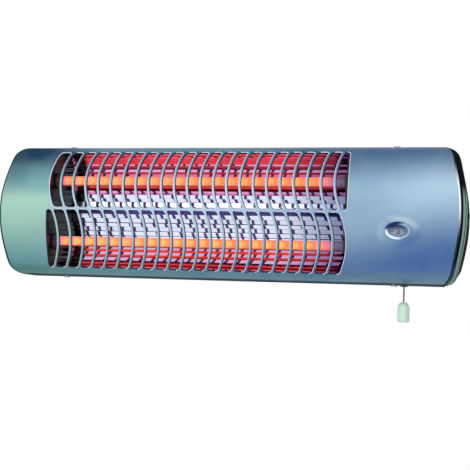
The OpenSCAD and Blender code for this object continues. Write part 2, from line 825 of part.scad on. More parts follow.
module cord_grommet() color(dark_plastic)
    in_case() translate([pull_x, pull_depth, -half_h])
        rotate_extrude()
            polygon(concat([[grommet_bore_r, grommet_back], [grommet_bore_r, -grommet_dome]],
                [for (a = [75:-15:0])
                    [grommet_bore_r + grommet_lip + (grommet_r - grommet_bore_r - grommet_lip) * cos(a),
                        -0.05 - (grommet_dome - 0.05) * sin(a)]],
                [[grommet_neck_r, -0.05], [grommet_neck_r, sheet_t + 0.1],
                    [grommet_r - fit, sheet_t + 0.1], [grommet_r - 0.8, grommet_back]]));

module pull_cord() color("#b5a58c")
    in_case() swept_tube(cord_points, cord_d / 2);

// A bullet with a rounded shoulder and a slightly narrower foot.
module pull_toggle() color(white_plastic)
    in_case() translate([pull_x, pull_depth, toggle_top - toggle_h])
        rotate_extrude()
            polygon(concat([[0, 0], [toggle_d / 2 - 1.6, 0], [toggle_d / 2 - 0.5, 0.6],
                    [toggle_d / 2, 1.8], [toggle_d / 2, toggle_h * 0.55]],
                [for (a = [10:16:74])
                    [toggle_d / 2 * (0.3 + 0.7 * cos(a)), toggle_h * (0.55 + 0.42 * sin(a))]],
                [[toggle_d * 0.17, toggle_h], [0, toggle_h]]));

// The mains side, behind the blank part of the front

module terminal_block() color("#e8e4da")
    in_case()
        difference() {
            translate([block_x - block_size[0] / 2, block_face, block_z - block_size[2] / 2])
                cube(block_size);
            for (i = [-1, 0, 1])
                bar_y(block_x + i * block_pitch, block_z, 0, block_face + block_hole_depth, block_hole_r);
        }

module cable_gland() color(dark_plastic)
    in_case()
        difference() {
            union() {
                bar_y(gland_x, gland_z, case_depth - gland_in, case_depth + gland_out, gland_neck_r);
                bar_y(gland_x, gland_z, case_depth + 0.1, case_depth + gland_collar, gland_r);
                bar_y(gland_x, gland_z, case_depth - pan_t - gland_collar, case_depth - pan_t - 0.1,
                    gland_r);
            }
            bar_y(gland_x, gland_z, 0, total_depth, gland_bore_r);
        }

module thermal_cutout() color("#8f8f94")
    in_case() {
        seat = plate_right + end_plate_t + 0.1;
        bar_x(seat, seat + cutout_h - 0.1, cutout_depth, cutout_z, cutout_r);
        translate([seat, cutout_depth - cutout_flange[1] / 2, cutout_z - cutout_flange[2] / 2])
            cube(cutout_flange);
    }

module earth_stud() color("#b8a878")
    in_case() {
        bar_y(stud_x, stud_z, plate_back - stud_h, case_depth - pan_t - 0.1, block_hole_r);
        bar_y(stud_x, stud_z, plate_back - stud_nut_h, plate_back, stud_nut_r);
    }

module wire_live() color("#7a4a2a") in_case() swept_tube(live_points, wire_r);

module wire_upper() color("#7a4a2a") in_case() swept_tube(upper_points, wire_r);

module wire_lower() color("#2a2a2a") in_case() swept_tube(lower_points, wire_r);

module wire_cutout() color("#3a5a9a") in_case() swept_tube(cutout_points, wire_r);

wall_bracket();
pivot_screw_left();
pivot_screw_right();
pivot_nuts();
friction_washers();
front_cover();
back_pan();
end_cap_left();
end_cap_right();
case_screws();
reflector();
end_plate_left();
end_plate_right();
tube_upper();
tube_lower();
coil_upper();
coil_lower();
ceramic_upper_left();
ceramic_lower_left();
ceramic_upper_right();
ceramic_lower_right();
tube_clips();
terminal_screws();
link_strap();
switch_body();
switch_bracket();
pull_lever();
return_spring();
number_disc();
dial_bezel();
dial_lens();
cord_grommet();
pull_cord();
pull_toggle();
terminal_block();
cable_gland();
thermal_cutout();
earth_stud();
wire_live();
wire_upper();
wire_lower();
wire_cutout();
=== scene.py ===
"""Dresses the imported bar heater: satin case with rolled slots, glowing tubes and a stepped reflector."""

import math

import bpy
from mathutils import Matrix, Vector
from mathutils.geometry import delaunay_2d_cdt


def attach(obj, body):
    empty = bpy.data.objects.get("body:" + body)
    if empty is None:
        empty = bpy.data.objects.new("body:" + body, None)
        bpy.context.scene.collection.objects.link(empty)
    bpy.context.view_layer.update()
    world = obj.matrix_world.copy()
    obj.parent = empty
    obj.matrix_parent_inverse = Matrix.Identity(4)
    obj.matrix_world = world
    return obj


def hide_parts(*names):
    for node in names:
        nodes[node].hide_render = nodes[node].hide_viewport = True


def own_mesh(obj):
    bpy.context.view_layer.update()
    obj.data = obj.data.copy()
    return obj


MM = 0.001
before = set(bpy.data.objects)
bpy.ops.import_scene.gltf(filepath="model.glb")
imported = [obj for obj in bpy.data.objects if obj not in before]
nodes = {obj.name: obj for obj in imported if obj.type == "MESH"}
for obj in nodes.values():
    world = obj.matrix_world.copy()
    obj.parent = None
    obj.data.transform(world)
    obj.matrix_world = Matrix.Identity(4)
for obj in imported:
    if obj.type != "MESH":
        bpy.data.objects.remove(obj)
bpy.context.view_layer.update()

# ---- sizes, in millimetres
# Depth is measured back from the nose of the case, as in the part's source.
NOSE_Y = -103.0
HALF_LEN = 244.0
HALF_H = 70.0
END_BOW = 15.5
EDGE_OUT = 0.9  # how far the rolled ends stand out past the solid's
END_FULL = 4.4  # how much fuller than a plain curve the bowed ends are
CORNER_FULL = 38.0  # and how much of that goes to their corners
NOSE_R = 140.0
CORNER_R = 22.0
COVER_DEPTH = 62.0
CASE_DEPTH = 80.0
PAN_BACK_H = 92.0
SHEET_T = 1.0

GRILLE_X = -28.5
GRILLE_HALF = 161.4
RIB_PITCH = 14.1
RIB_COUNT = 11
RIB_W = 3.0
RIB_BULGE = 7.0
SLOT_LOW = 1.5
SLOT_HIGH = 62.0
SLOT_CORNER = 2.4
ROLL_R = 0.8
RIB_DEPTH = 2.0

TUBE_Z = 33.0
TUBE_DEPTH = 30.0
PLATE_LEFT = GRILLE_X - GRILLE_HALF - 2.0
PLATE_RIGHT = GRILLE_X + GRILLE_HALF - 2.0
PLATE_T = 1.2

DIAL_X = 184.0
DIAL_Z = -18.5
DISC_Z = -7.5
BEZEL_W, BEZEL_H = 26.0, 18.0
PULL_X = 188.5
PULL_SETBACK = 3.8

# ---- camera, at the photograph's angle
PHOTO_PX = 470
FOCAL_PX = 1069.847
CAMERA_AT = Vector((0.286476, -1.158233, -0.121722))
YAW, PITCH, ROLL = 0.248, 0.088, 0.040


def placed(name, data, body=None):
    """A new object in the scene, riding on a body if it has one."""
    made = bpy.data.objects.new(name, data)
    bpy.context.scene.collection.objects.link(made)
    if body:
        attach(made, body)
    return made


def make_camera():
    data = bpy.data.cameras.new("camera")
    data.sensor_width = 36.0
    data.lens = FOCAL_PX / PHOTO_PX * data.sensor_width
    camera = placed("camera", data)
    forward = Vector((-math.sin(YAW) * math.cos(PITCH), math.cos(YAW) * math.cos(PITCH), math.sin(PITCH)))
    right = Vector((math.cos(YAW), math.sin(YAW), 0))
    up = right.cross(forward)
    turned_right = math.cos(ROLL) * right + math.sin(ROLL) * up
    turned_up = math.cos(ROLL) * up - math.sin(ROLL) * right
    turn = Matrix((turned_right, turned_up, -forward)).transposed().to_4x4()
    camera.matrix_world = Matrix.Translation(CAMERA_AT) @ turn
    bpy.context.scene.camera = camera


# ---- node materials
def linear(colour):
    """A colour as it looks on a screen, 0 to 255, in the linear values that shaders take."""
    return [v / 255 / 12.92 if v <= 10 else ((v / 255 + 0.055) / 1.055) ** 2.4 for v in colour]


class Nodes:
    """A node tree, and short calls for the nodes that both the materials and the world use."""

    def __init__(self, tree):
        self.tree = tree

    def node(self, kind, inputs=None, **settings):
        made = self.tree.nodes.new("ShaderNode" + kind)
        for name, value in settings.items():
            setattr(made, name, value)
        for name, value in (inputs or {}).items():
            if isinstance(value, bpy.types.NodeSocket):
                self.tree.links.new(value, made.inputs[name])
            else:
                made.inputs[name].default_value = value
        return made

    def math(self, operation, a, b=0.0, clamp=False):
        return self.node("Math", {0: a, 1: b}, operation=operation, use_clamp=clamp).outputs[0]

    def between(self, value, low, high, to_low=0.0, to_high=1.0, kind="SMOOTHSTEP"):
        """Maps a value's range from low to high onto to_low to to_high, and holds it beyond."""
        inputs = {0: value, 1: low, 2: high, 3: to_low, 4: to_high}
        return self.node("MapRange", inputs, interpolation_type=kind).outputs[0]

    def evenly(self, share, a, b):
        """From a to b in a straight line, as a share goes from 0 to 1."""
        return self.between(share, 0, 1, a, b, "LINEAR")

    def seen(self):
        """1 for what the camera sees by itself, in a reflection or through glass, and 0 for light."""
        path = self.node("LightPath").outputs
        mirrored = self.math("MAXIMUM", path["Is Glossy Ray"], path["Is Transmission Ray"])
        return self.math("MAXIMUM", path["Is Camera Ray"], mirrored)


class Shader(Nodes):
    """A node material with one Principled shader, and short calls for the nodes that feed it."""

    def __init__(self, name, **sockets):
        self.material = bpy.data.materials.new(name)
        self.material.use_nodes = True
        super().__init__(self.material.node_tree)
        self.main = self.tree.nodes["Principled BSDF"]
        self.place = self.node("TexCoord").outputs["Object"]
        for socket, value in sockets.items():
            self.main.inputs[socket.replace("_", " ")].default_value = value

    def stretched(self, scale, turn=(0, 0, 0)):
        inputs = {"Vector": self.place, "Scale": scale, "Rotation": turn}
        return self.node("Mapping", inputs).outputs[0]

    def noise(self, scale, detail=3.0, vector=None):
        inputs = {"Vector": vector or self.place, "Scale": scale, "Detail": detail}
        return self.node("TexNoise", inputs).outputs["Fac"]

    def product(self, a, b):
        return self.math("MULTIPLY", a, b)

    def weighted(self, u, u_share, v, v_share):
        return self.math("ADD", self.product(u, u_share), self.product(v, v_share))

    def axis(self, name):
        return self.node("SeparateXYZ", {0: self.place}).outputs[name]

    def mix(self, share, a, b, blend="MIX"):
        """Mixes two colours: sockets, tuples as on a screen, or lists of linear values."""
        made = self.node("Mix", data_type="RGBA", blend_type=blend)
        for socket, value in zip((made.inputs[0], made.inputs[6], made.inputs[7]), (share, a, b)):
            if isinstance(value, tuple):
                value = linear(value)
            if isinstance(value, bpy.types.NodeSocket):
                self.tree.links.new(value, socket)
            else:
                socket.default_value = (*value, 1) if isinstance(value, list) else value
        return made.outputs[2]

    def feed(self, socket, value):
        self.tree.links.new(value, self.main.inputs[socket])

    def paint(self, share, a, b, blend="MIX"):
        self.feed("Base Color", self.mix(share, a, b, blend))

    def roughen(self, fine, low, high):
        self.feed("Roughness", self.between(fine, 0.3, 0.7, low, high))

    def bump(self, height, strength, distance):
        inputs = {"Height": height, "Strength": strength, "Distance": distance}
        self.feed("Normal", self.node("Bump", inputs).outputs[0])


def dial_place(s):
    """Distance from the window's middle, across and up, in half sizes of its bezel."""
    u = s.math("DIVIDE", s.math("SUBTRACT", s.axis("X"), DIAL_X * MM), BEZEL_W / 2 * MM)
    v = s.math("DIVIDE", s.math("SUBTRACT", s.axis("Z"), DIAL_Z * MM), BEZEL_H / 2 * MM)
    return u, v


def painted_sheet_light(s):
    """Colour of the sheet by its place, all of it painted light and shade, and the share of it under painted
    shade where it turns away from the light.
    """
    x, height = s.axis("X"), s.axis("Z")
    along = s.between(x, -0.17, 0.15)
    far = s.between(x, 0.14, 0.235)
    tint = s.between(x, -0.215, -0.135)
    middle = s.between(s.math("ABSOLUTE", s.math("ADD", x, 0.07)), 0.17, 0.06)

    # a painted light band, with painted shade above and below it, whose height and width change along the
    # case
    upper_foot = s.evenly(along, 0.064, 0.070)
    upper_peak = s.between(s.math("ADD", along, far), 0, 2, 0.005, 0.024, "LINEAR")
    lower_peak = s.math("ADD", s.evenly(along, 0.003, -0.006), s.evenly(far, 0.0, 0.034))
    lower_foot = s.math("ADD", s.evenly(along, -0.082, -0.064), s.evenly(far, 0.0, 0.018))
    upper = s.between(height, upper_foot, upper_peak)
    lower = s.between(height, lower_foot, lower_peak)
    # the band's painted highlight colour, greener at the left end and bluer at the right
    bright = s.mix(middle, (146, 176, 199), (178, 205, 226))
    bright = s.mix(far, s.mix(tint, (166, 208, 192), bright), (172, 200, 221))
    painted_shade_top = s.mix(tint, (18, 54, 88), s.mix(middle, (66, 100, 138), (84, 126, 150)))
    painted_shade_top = s.mix(s.between(x, 0.222, 0.240), painted_shade_top, (44, 76, 108))
    painted_shade_low = s.mix(along, (58, 126, 142), (74, 107, 161))
    # painted reflection of the floor along the bottom edge
    painted_floor_reflection = s.mix(tint, (64, 112, 114), s.mix(along, (86, 132, 134), (98, 134, 154)))
    painted_shade_low = s.mix(s.between(height, -0.055, -0.066, 0.0, 0.8), painted_shade_low, painted_floor_reflection)
    colour = s.mix(lower, painted_shade_low, s.mix(upper, painted_shade_top, bright))
    # a painted cool reflection over the left part of the band
    painted_cool_reflection = s.product(s.between(height, 0.056, 0.040), s.between(height, 0.008, 0.024))
    colour = s.mix(s.product(painted_cool_reflection, s.between(tint, 0, 1, 0.42, 0.0)), colour, (84, 144, 164))

    # painted shade, matt and dark, over the top of the left end and under the bottom edge
    over_top_shade = s.product(s.between(height, 0.0580, 0.0675), s.math("SUBTRACT", 1.0, tint))
    turned = s.math("MAXIMUM", over_top_shade, s.between(height, -0.0684, -0.0697))
    edge = s.mix(s.between(height, -0.01, 0.01), (44, 74, 76), (32, 66, 92))
    colour = s.mix(turned, colour, s.mix(tint, edge, (52, 72, 88)))
    # painted shade near the left end, over its upper half
    left_end_shade = s.product(s.between(x, -0.205, -0.236, 0.0, 0.35), s.between(height, 0.006, 0.040))
    return s.mix(left_end_shade, colour, (28, 66, 78)), turned


def dish_light(s, colour):
    """Light on the upper and left side of the dish round the window, and shade on its lower right."""
    u, v = dial_place(s)
    away = s.math("SQRT", s.math("ADD", s.product(u, u), s.product(v, v)))
    ring = s.product(s.between(away, 0.95, 1.15), s.between(away, 1.9, 1.25))
    upward = s.between(s.weighted(u, 0.4, v, 0.9), 0.5, 1.3, 0.0, 0.55)
    leftward = s.between(u, -0.8, -1.3, 0.0, 0.2)
    downward = s.between(s.weighted(u, 0.65, v, -0.75), 0.6, 1.5, 0.0, 0.6)
    shadow = s.product(s.between(away, 0.95, 1.15), s.between(away, 2.3, 1.3))
    colour = s.mix(s.product(ring, s.math("MAXIMUM", upward, leftward)), colour, (206, 226, 236))
    return s.mix(s.product(shadow, downward), colour, (62, 104, 158))


def satin_metal():
    """Satin steel with painted light: a broad painted light band, and painted reflection colour that is
    greener at the left end and bluer at the right.
    """
    s = Shader("satin_metal", Specular_IOR_Level=0.0)
    colour, turned = painted_sheet_light(s)
    colour = dish_light(s, colour)
    grain = s.noise(900, 2.0)
    cloud = s.noise(26)
    s.paint(s.between(cloud, 0.35, 0.7, 0.0, 0.06), colour, (214, 226, 232))
    s.roughen(grain, 0.36, 0.46)
    # the sheet turns matt where its shade is painted
    s.feed("Metallic", s.math("SUBTRACT", 1.0, turned))
    s.bump(grain, 0.05, 0.0002)
    return s.material


def bezel_metal():
    """Bright bezel, with painted shade on its upper left and a painted highlight on its lower left."""
    s = Shader("bezel_metal", Metallic=1.0)
    u, v = dial_place(s)
    shade = s.between(s.weighted(u, -0.5, v, 0.9), 0.35, 0.75)
    shine = s.between(s.weighted(u, -0.65, v, -0.75), 0.35, 0.75)
    fine = s.noise(300, 2.0)
    colour = s.mix(shade, s.mix(fine, (136, 166, 200), (156, 184, 214)), (32, 54, 106))
    s.paint(shine, colour, (226, 242, 255))
    s.roughen(fine, 0.18, 0.26)
    return s.material


def painted_glint_roll():
    """Painted highlight on the rolled edges of the slots, where they would catch the light."""
    s = Shader("painted_glint_roll", Metallic=1.0, Roughness=0.25)
    grain = s.noise(300, 2.0)
    s.paint(grain, (206, 222, 234), (238, 244, 250))
    return s.material


def painted_highlight_edge():
    """The rolled end of the sheet: a painted highlight around its middle height on the right end, and
    painted shade everywhere else.
    """
    s = Shader("painted_highlight_edge", Roughness=0.2, Specular_IOR_Level=0.0)
    grain = s.noise(300, 2.0)
    z = s.axis("Z")
    lit = s.product(s.between(z, -0.026, 0.012), s.between(z, 0.052, 0.028))
    lit = s.product(lit, s.between(s.axis("X"), 0.0, 0.1))
    pale = s.mix(grain, (232, 240, 246), (252, 253, 255))
    s.paint(lit, (32, 52, 58), pale)
    s.feed("Metallic", s.between(lit, 0.0, 0.5))
    return s.material


def inner_steel(name, dark, light):
    """Steel blotched between two colours: the inside of the sheet, blued by heat, and the painted shade on
    the inner turn of the sheet's rolled edges.
    """
    s = Shader(name, Metallic=0.4)
    stain = s.noise(40, 4.0)
    s.paint(stain, dark, light)
    s.roughen(stain, 0.4, 0.6)
    return s.material


def zinc_steel():
    """Galvanised sheet with its grey spangle."""
    s = Shader("zinc_steel", Metallic=1.0)
    cells = s.node("TexVoronoi", {"Vector": s.place, "Scale": 140.0}).outputs["Color"]
    spangle = s.node("SeparateColor", {0: cells}).outputs[0]
    grain = s.noise(420)
    s.paint(spangle, (150, 158, 164), (196, 202, 206))
    s.roughen(grain, 0.34, 0.52)
    s.bump(grain, 0.06, 0.0002)
    return s.material


def plastic(name, colour, roughness):
    s = Shader(name)
    fine = s.noise(600, 2.0)
    s.paint(s.noise(60), [v * 0.86 for v in linear(colour)], colour)
    s.roughen(fine, roughness - 0.08, roughness + 0.08)
    s.bump(fine, 0.05, 0.0003)
    return s.material


def toggle_plastic():
    """Pale moulded plastic, with painted shade towards its right side and its foot."""
    s = Shader("toggle_plastic", Coat_Weight=0.3, Coat_Roughness=0.15)
    x, z = s.axis("X"), s.axis("Z")
    fine = s.noise(900, 2.0)
    pale = s.mix(s.noise(60), (214, 246, 224), (228, 252, 238))
    # painted shade on the right side and the foot
    side = s.between(x, (PULL_X + 0.5) * MM, (PULL_X + 6.5) * MM, 0.0, 0.5)
    foot = s.between(z, -0.1055, -0.1080, 0.0, 0.35)
    s.paint(s.math("MAXIMUM", side, foot), pale, (120, 152, 142))
    s.roughen(fine, 0.26, 0.34)
    s.bump(fine, 0.04, 0.0002)
    return s.material


def metal(name, colour, roughness):
    s = Shader(name, Metallic=1.0)
    fine = s.noise(500, 2.0)
    s.paint(s.noise(90), [v * 0.8 for v in linear(colour)], colour)
    s.roughen(fine, roughness * 0.75, roughness * 1.25)
    s.bump(fine, 0.08, 0.0002)
    return s.material


def polished_reflector(name, tint):
    """Bright metal in a tint for each row, which for all but the clear rows is painted reflection of the
    tubes' glow or painted shade; painted shade near its left end, and darker towards its right.
    """
    s = Shader(name, Metallic=1.0)
    x = s.axis("X")
    streak = s.noise(30, 3.0, s.stretched((0.2, 1.0, 6.0)))
    # darker towards the right end
    right_darker = [v * w for v, w in zip(linear(tint), (0.30, 0.32, 0.45))]
    colour = s.mix(s.between(x, 0.050, 0.125), tint, right_darker)
    # painted shade near the left end
    painted_shade_tone = s.mix(s.between(x, -0.175, -0.179), (34, 28, 34), (196, 208, 208))
    colour = s.mix(s.between(x, -0.160, -0.166), colour, painted_shade_tone)
    share = s.between(streak, 0.35, 0.7, 0.0, 0.2)
    s.paint(share, colour, (200, 196, 225), "MULTIPLY")
    s.roughen(streak, 0.03, 0.07)
    return s.material


def milky_quartz():
    """Milky quartz lit from inside, with painted light in its glow: a brighter patch along its middle behind
    each slot, paler on one side of each patch, pinker towards both ends, a painted highlight along its top
    and painted shade along its underside.
    """
    s = Shader("milky_quartz", Roughness=0.35, IOR=1.46)
    x, z = s.axis("X"), s.axis("Z")
    from_rib = s.math("SUBTRACT", x, (GRILLE_X + RIB_PITCH / 2) * MM)
    phase = s.product(from_rib, 2 * math.pi / (RIB_PITCH * MM))
    wave = s.between(s.math("COSINE", phase), -0.6, 1.0)
    off = s.math("SUBTRACT", z, s.product(s.math("SIGN", z), TUBE_Z * MM))
    core = s.product(wave, s.between(s.math("ABSOLUTE", off), 0.0046, 0.0010))
    cloud = s.noise(160)
    glow = s.mix(s.between(s.math("SINE", phase), 0.2, -0.9), (252, 126, 80), (255, 166, 140))
    patch_colour = s.mix(s.between(z, -0.01, 0.01), (255, 204, 66), (255, 180, 60))
    hot = s.mix(s.product(core, s.between(cloud, 0.25, 0.75, 0.6, 1.0)), glow, patch_colour)
    pink = s.math("MAXIMUM", s.between(x, -0.176, -0.186), s.between(x, 0.096, 0.112))
    hot = s.mix(pink, hot, (236, 110, 140))
    # painted shade along the underside
    hot = s.mix(s.between(off, -0.0036, -0.0050), hot, (120, 26, 44))
    # a painted highlight along the top
    hot = s.mix(s.between(off, 0.0040, 0.0052, 0.0, 0.7), hot, (250, 150, 150))
    lit = s.product(s.between(x, -0.192, -0.187), s.between(x, 0.108, 0.121, 1.0, 0.0))
    s.paint(lit, (150, 128, 170), (150, 90, 70))
    s.feed("Emission Color", hot)
    s.feed("Emission Strength", s.product(lit, 0.9))
    s.bump(cloud, 0.05, 0.0004)
    return s.material


def glowing_wire():
    s = Shader("glowing_wire", Roughness=0.6, Emission_Strength=1.6)
    glow = s.noise(200, 2.0)
    s.paint(glow, (255, 120, 40), (255, 200, 90))
    s.feed("Emission Color", s.mix(glow, (255, 120, 30), (255, 190, 70)))
    return s.material


def unglazed_ceramic():
    s = Shader("unglazed_ceramic", Roughness=0.7)
    fleck = s.noise(500, 4.0)
    s.paint(s.between(fleck, 0.35, 0.7), (70, 60, 66), (104, 92, 98))
    s.bump(fleck, 0.15, 0.0003)
    return s.material


def braided_cord():
    s = Shader("braided_cord", Roughness=0.85, Sheen_Weight=0.4)
    slanted = s.stretched((1, 1, 1), (0.6, 0.4, 0))
    weave = s.node("TexWave", {"Vector": slanted, "Scale": 500.0, "Distortion": 1.0}).outputs["Fac"]
    s.paint(weave, (112, 98, 84), (186, 172, 152))
    s.bump(weave, 0.5, 0.0003)
    return s.material


def clear_lens():
    """The window's lens: thin and clear, with painted shade over its upper half, where it is also less
    clear.
    """
    s = Shader("clear_lens", Roughness=0.06, IOR=1.45)
    haze = s.noise(120)
    _, v = dial_place(s)
    shade = s.between(v, -0.4, 0.5)
    s.feed("Alpha", s.between(shade, 0, 1, 0.14, 0.72))
    pale = s.mix(haze, (206, 216, 226), (228, 236, 244))
    s.paint(shade, pale, (30, 48, 100))
    s.bump(haze, 0.03, 0.0003)
    return s.material


def dress_cad_nodes():
    """Gives the CAD nodes that stay their materials."""
    steel = zinc_steel()
    beige = plastic("switch_plastic", (214, 208, 194), 0.45)
    black = plastic("cap_plastic", (30, 38, 40), 0.28)
    brass = metal("terminal_brass", (196, 172, 104), 0.35)
    looks = {
        steel: ["wall_bracket", "pivot_nuts", "back_pan", "tube_clips", "switch_bracket"],
        metal("screw_steel", (170, 176, 180), 0.3): ["case_screws"],
        metal("black_screw", (46, 52, 54), 0.4): ["pivot_screw_left", "pivot_screw_right"],
        plastic("fibre", (120, 96, 70), 0.8): ["friction_washers"],
        metal("dark_plate", (64, 54, 66), 0.3): ["end_plate_left", "end_plate_right"],
        milky_quartz(): ["tube_upper", "tube_lower"],
        unglazed_ceramic(): ["ceramic_upper_left", "ceramic_lower_left", "ceramic_upper_right",
                             "ceramic_lower_right"],
        brass: ["terminal_screws", "link_strap", "earth_stud"],
        beige: ["switch_body", "pull_lever", "terminal_block"],
        black: ["cable_gland", "cord_grommet"],
        plastic("disc_plastic", (176, 204, 228), 0.5): ["number_disc"],
        metal("cutout_metal", (150, 150, 156), 0.4): ["thermal_cutout"],
        plastic("wire_brown", (96, 56, 32), 0.5): ["wire_live", "wire_upper"],
        plastic("wire_black", (34, 34, 36), 0.5): ["wire_lower"],
        plastic("wire_blue", (44, 78, 148), 0.5): ["wire_cutout"],
    }
    for material, names in looks.items():
        for name in names:
            nodes[name].data.materials.clear()
            nodes[name].data.materials.append(material)


# ---- mesh helpers
def make_object(name, points, faces, materials, body, normals=None, looks=None):
    """A mesh object in the row frame from points in metres, riding on a body."""
    mesh = bpy.data.meshes.new(name)
    mesh.from_pydata([tuple(p) for p in points], [], faces)
    for material in materials:
        mesh.materials.append(material)
    if looks is not None:
        mesh.polygons.foreach_set("material_index", looks)
    mesh.shade_smooth()
    if normals is not None:
        mesh.normals_split_custom_set_from_vertices([tuple(n) for n in normals])
    return placed(name, mesh, body)


def round_curve(name, points, radius, sides):
    """A curve object's data: a round wire through points of the row frame."""
    curve = bpy.data.curves.new(name, "CURVE")
    curve.dimensions = "3D"
    curve.bevel_depth = radius * MM
    curve.bevel_resolution = sides
    spline = curve.splines.new("POLY")
    spline.points.add(len(points) - 1)
    for place, point in zip(spline.points, points):
        place.co = (*point, 1)
    return curve


def bands(first, rings, count, turned=False):
    """Quads between each ring of points and the next one, from the number of the first point."""
    quads = []
    for start in range(first, first + (rings - 1) * count, count):
        for k in range(count):
            a, b = start + k, start + (k + 1) % count
            quads.append((a, b, b + count, a + count) if turned else (a, a + count, b + count, b))
    return quads


def in_row(x, depth, z):
    """A case point, in millimetres, as a point of the row frame in metres."""
    return Vector((x, NOSE_Y + depth, z)) * MM


# ---- the front sheet
CURVE_ANGLE = math.asin((HALF_H - CORNER_R) / (NOSE_R - CORNER_R))
CORNER_DEPTH = NOSE_R - (NOSE_R - CORNER_R) * math.cos(CURVE_ANGLE)
NOSE_ARC = NOSE_R * CURVE_ANGLE
CORNER_ARC = CORNER_R * (math.pi / 2 - CURVE_ANGLE)
SHEET_ARC = NOSE_ARC + CORNER_ARC + COVER_DEPTH - CORNER_DEPTH


def sheet_at(s):
    """Depth, height and outward normal (depth, height) at a distance s along the sheet from its nose."""
    side = 1 if s >= 0 else -1
    run = abs(s)
    if run <= NOSE_ARC:
        a = run / NOSE_R
        return NOSE_R * (1 - math.cos(a)), side * NOSE_R * math.sin(a), -math.cos(a), side * math.sin(a)
    if run <= NOSE_ARC + CORNER_ARC:
        a = CURVE_ANGLE + (run - NOSE_ARC) / CORNER_R
        depth = CORNER_DEPTH - CORNER_R * math.cos(a)
        return depth, side * (HALF_H - CORNER_R + CORNER_R * math.sin(a)), -math.cos(a), side * math.sin(a)
    return CORNER_DEPTH + run - NOSE_ARC - CORNER_ARC, side * HALF_H, 0.0, side


def run_at(z):
    """The distance along the sheet from its nose at a height."""
    side = 1 if z >= 0 else -1
    if abs(z) <= NOSE_R * math.sin(CURVE_ANGLE):
        return side * NOSE_R * math.asin(abs(z) / NOSE_R)
    a = math.asin(min(1.0, (abs(z) - HALF_H + CORNER_R) / CORNER_R))
    return side * (NOSE_ARC + CORNER_R * (a - CURVE_ANGLE))


def bow_at(z, bow):
    """How far the bowed end is drawn back at a height: an arc that is fuller towards its rounded corners."""
    t = min(1.0, (z / HALF_H) ** 2)
    return bow * t - (END_FULL * t + CORNER_FULL * t**4) * (1 - t)


def end_at(z):
    """Half the length of the front at a height, with its rolled rim."""
    return HALF_LEN + EDGE_OUT - bow_at(z, END_BOW + EDGE_OUT)


def slot_sides(index, z, grow):
    """Left and right edges of an upper slot at a height, grown all round."""
    row_h = SLOT_HIGH - SLOT_LOW
    arc_r = ((row_h / 2) ** 2 + RIB_BULGE**2) / (2 * RIB_BULGE)
    dz = z - (SLOT_LOW + SLOT_HIGH) / 2

    def arc(number, r):
        return GRILLE_X + number * RIB_PITCH - RIB_BULGE + arc_r - math.sqrt(r * r - dz * dz)

    left = arc(index, arc_r - RIB_W / 2 + grow)
    if index == RIB_COUNT:
        return left, GRILLE_X + GRILLE_HALF + grow
    return left, arc(index + 1, arc_r + RIB_W / 2 - grow)


SIDE_STEPS = 26
CORNER_STEPS = 5


def slot_outline(index, grow):
    """[x, s] points round an upper slot with rounded corners, in the same number for every growth."""
    low = run_at(SLOT_LOW - grow)
    high = run_at(SLOT_HIGH + grow)
    r = SLOT_CORNER + grow
    turns = [math.pi / 2 * k / CORNER_STEPS for k in range(CORNER_STEPS)]
    corner = [(r * (1 - math.cos(a)), r * (1 - math.sin(a))) for a in turns]
    levels = [(low + up, inset) for up, inset in corner]
    levels += [(low + r + (high - low - 2 * r) * k / SIDE_STEPS, 0.0) for k in range(SIDE_STEPS + 1)]
    levels += [(high - up, inset) for up, inset in reversed(corner)]
    left, right = [], []
    for s, inset in levels:
        a, b = slot_sides(index, sheet_at(s)[1], grow)
        left.append((a + inset, s))
        right.append((b - inset, s))
    return right + left[::-1]


def slot_outlines(grow):
    """All slots: the upper row, and the same row turned half a turn about the grille's middle."""
    upper = [slot_outline(i, grow) for i in range(-RIB_COUNT, RIB_COUNT + 1)]
    return upper + [[(2 * GRILLE_X - x, -s) for x, s in outline] for outline in upper]


def in_slots(x, s, grow):
    z = sheet_at(s)[1]
    if z < 0:
        x, z = 2 * GRILLE_X - x, -z
    if not SLOT_LOW - grow < z < SLOT_HIGH + grow:
        return False
    for index in range(-RIB_COUNT, RIB_COUNT + 1):
        left, right = slot_sides(index, z, grow)
        if left < x < right:
            return True
    return False


DIAL_S = run_at(DIAL_Z)
WINDOW_W, WINDOW_H = 24.4, 16.4
DISH_DEPTH = 1.8
DISH_W, DISH_H = 27.0, 20.0
DISH_FLAT = 0.45  # share of the dish that is flat, from its middle
PULL_HOLE_R = 3.95


def around(x, s, half_w, half_h, count, turn=0.0):
    """Points of an oval round [x, s]."""
    angles = [2 * math.pi * (k + turn) / count for k in range(count)]
    return [(x + half_w * math.cos(a), s + half_h * math.sin(a)) for a in angles]


def window_outline(grow):
    return around(DIAL_X, DIAL_S, WINDOW_W / 2 + grow, WINDOW_H / 2 + grow, 48)


def in_window(x, s, grow):
    u, v = (x - DIAL_X) / (WINDOW_W / 2 + grow), (s - DIAL_S) / (WINDOW_H / 2 + grow)
    return u * u + v * v < 1


PULL_S = -(NOSE_ARC + CORNER_ARC + PULL_SETBACK)


def pull_outline(grow):
    return around(PULL_X, PULL_S, PULL_HOLE_R + grow, PULL_HOLE_R + grow, 24)


def in_pull_hole(x, s, grow):
    return (x - PULL_X) ** 2 + (s - PULL_S) ** 2 < (PULL_HOLE_R + grow) ** 2


def dish(x, s):
    """How far the stamped dish round the window lies below the sheet."""
    reach = math.hypot((x - DIAL_X) / DISH_W, (s - DIAL_S) / DISH_H)
    t = max(0.0, min(1.0, (reach - DISH_FLAT) / (1 - DISH_FLAT)))
    return DISH_DEPTH * (1 - t * t * (3 - 2 * t))


def sheet_point(x, s, below):
    depth, z, n_depth, n_z = sheet_at(s)
    down = below + dish(x, s)
    return in_row(x, depth - n_depth * down, z - n_z * down)


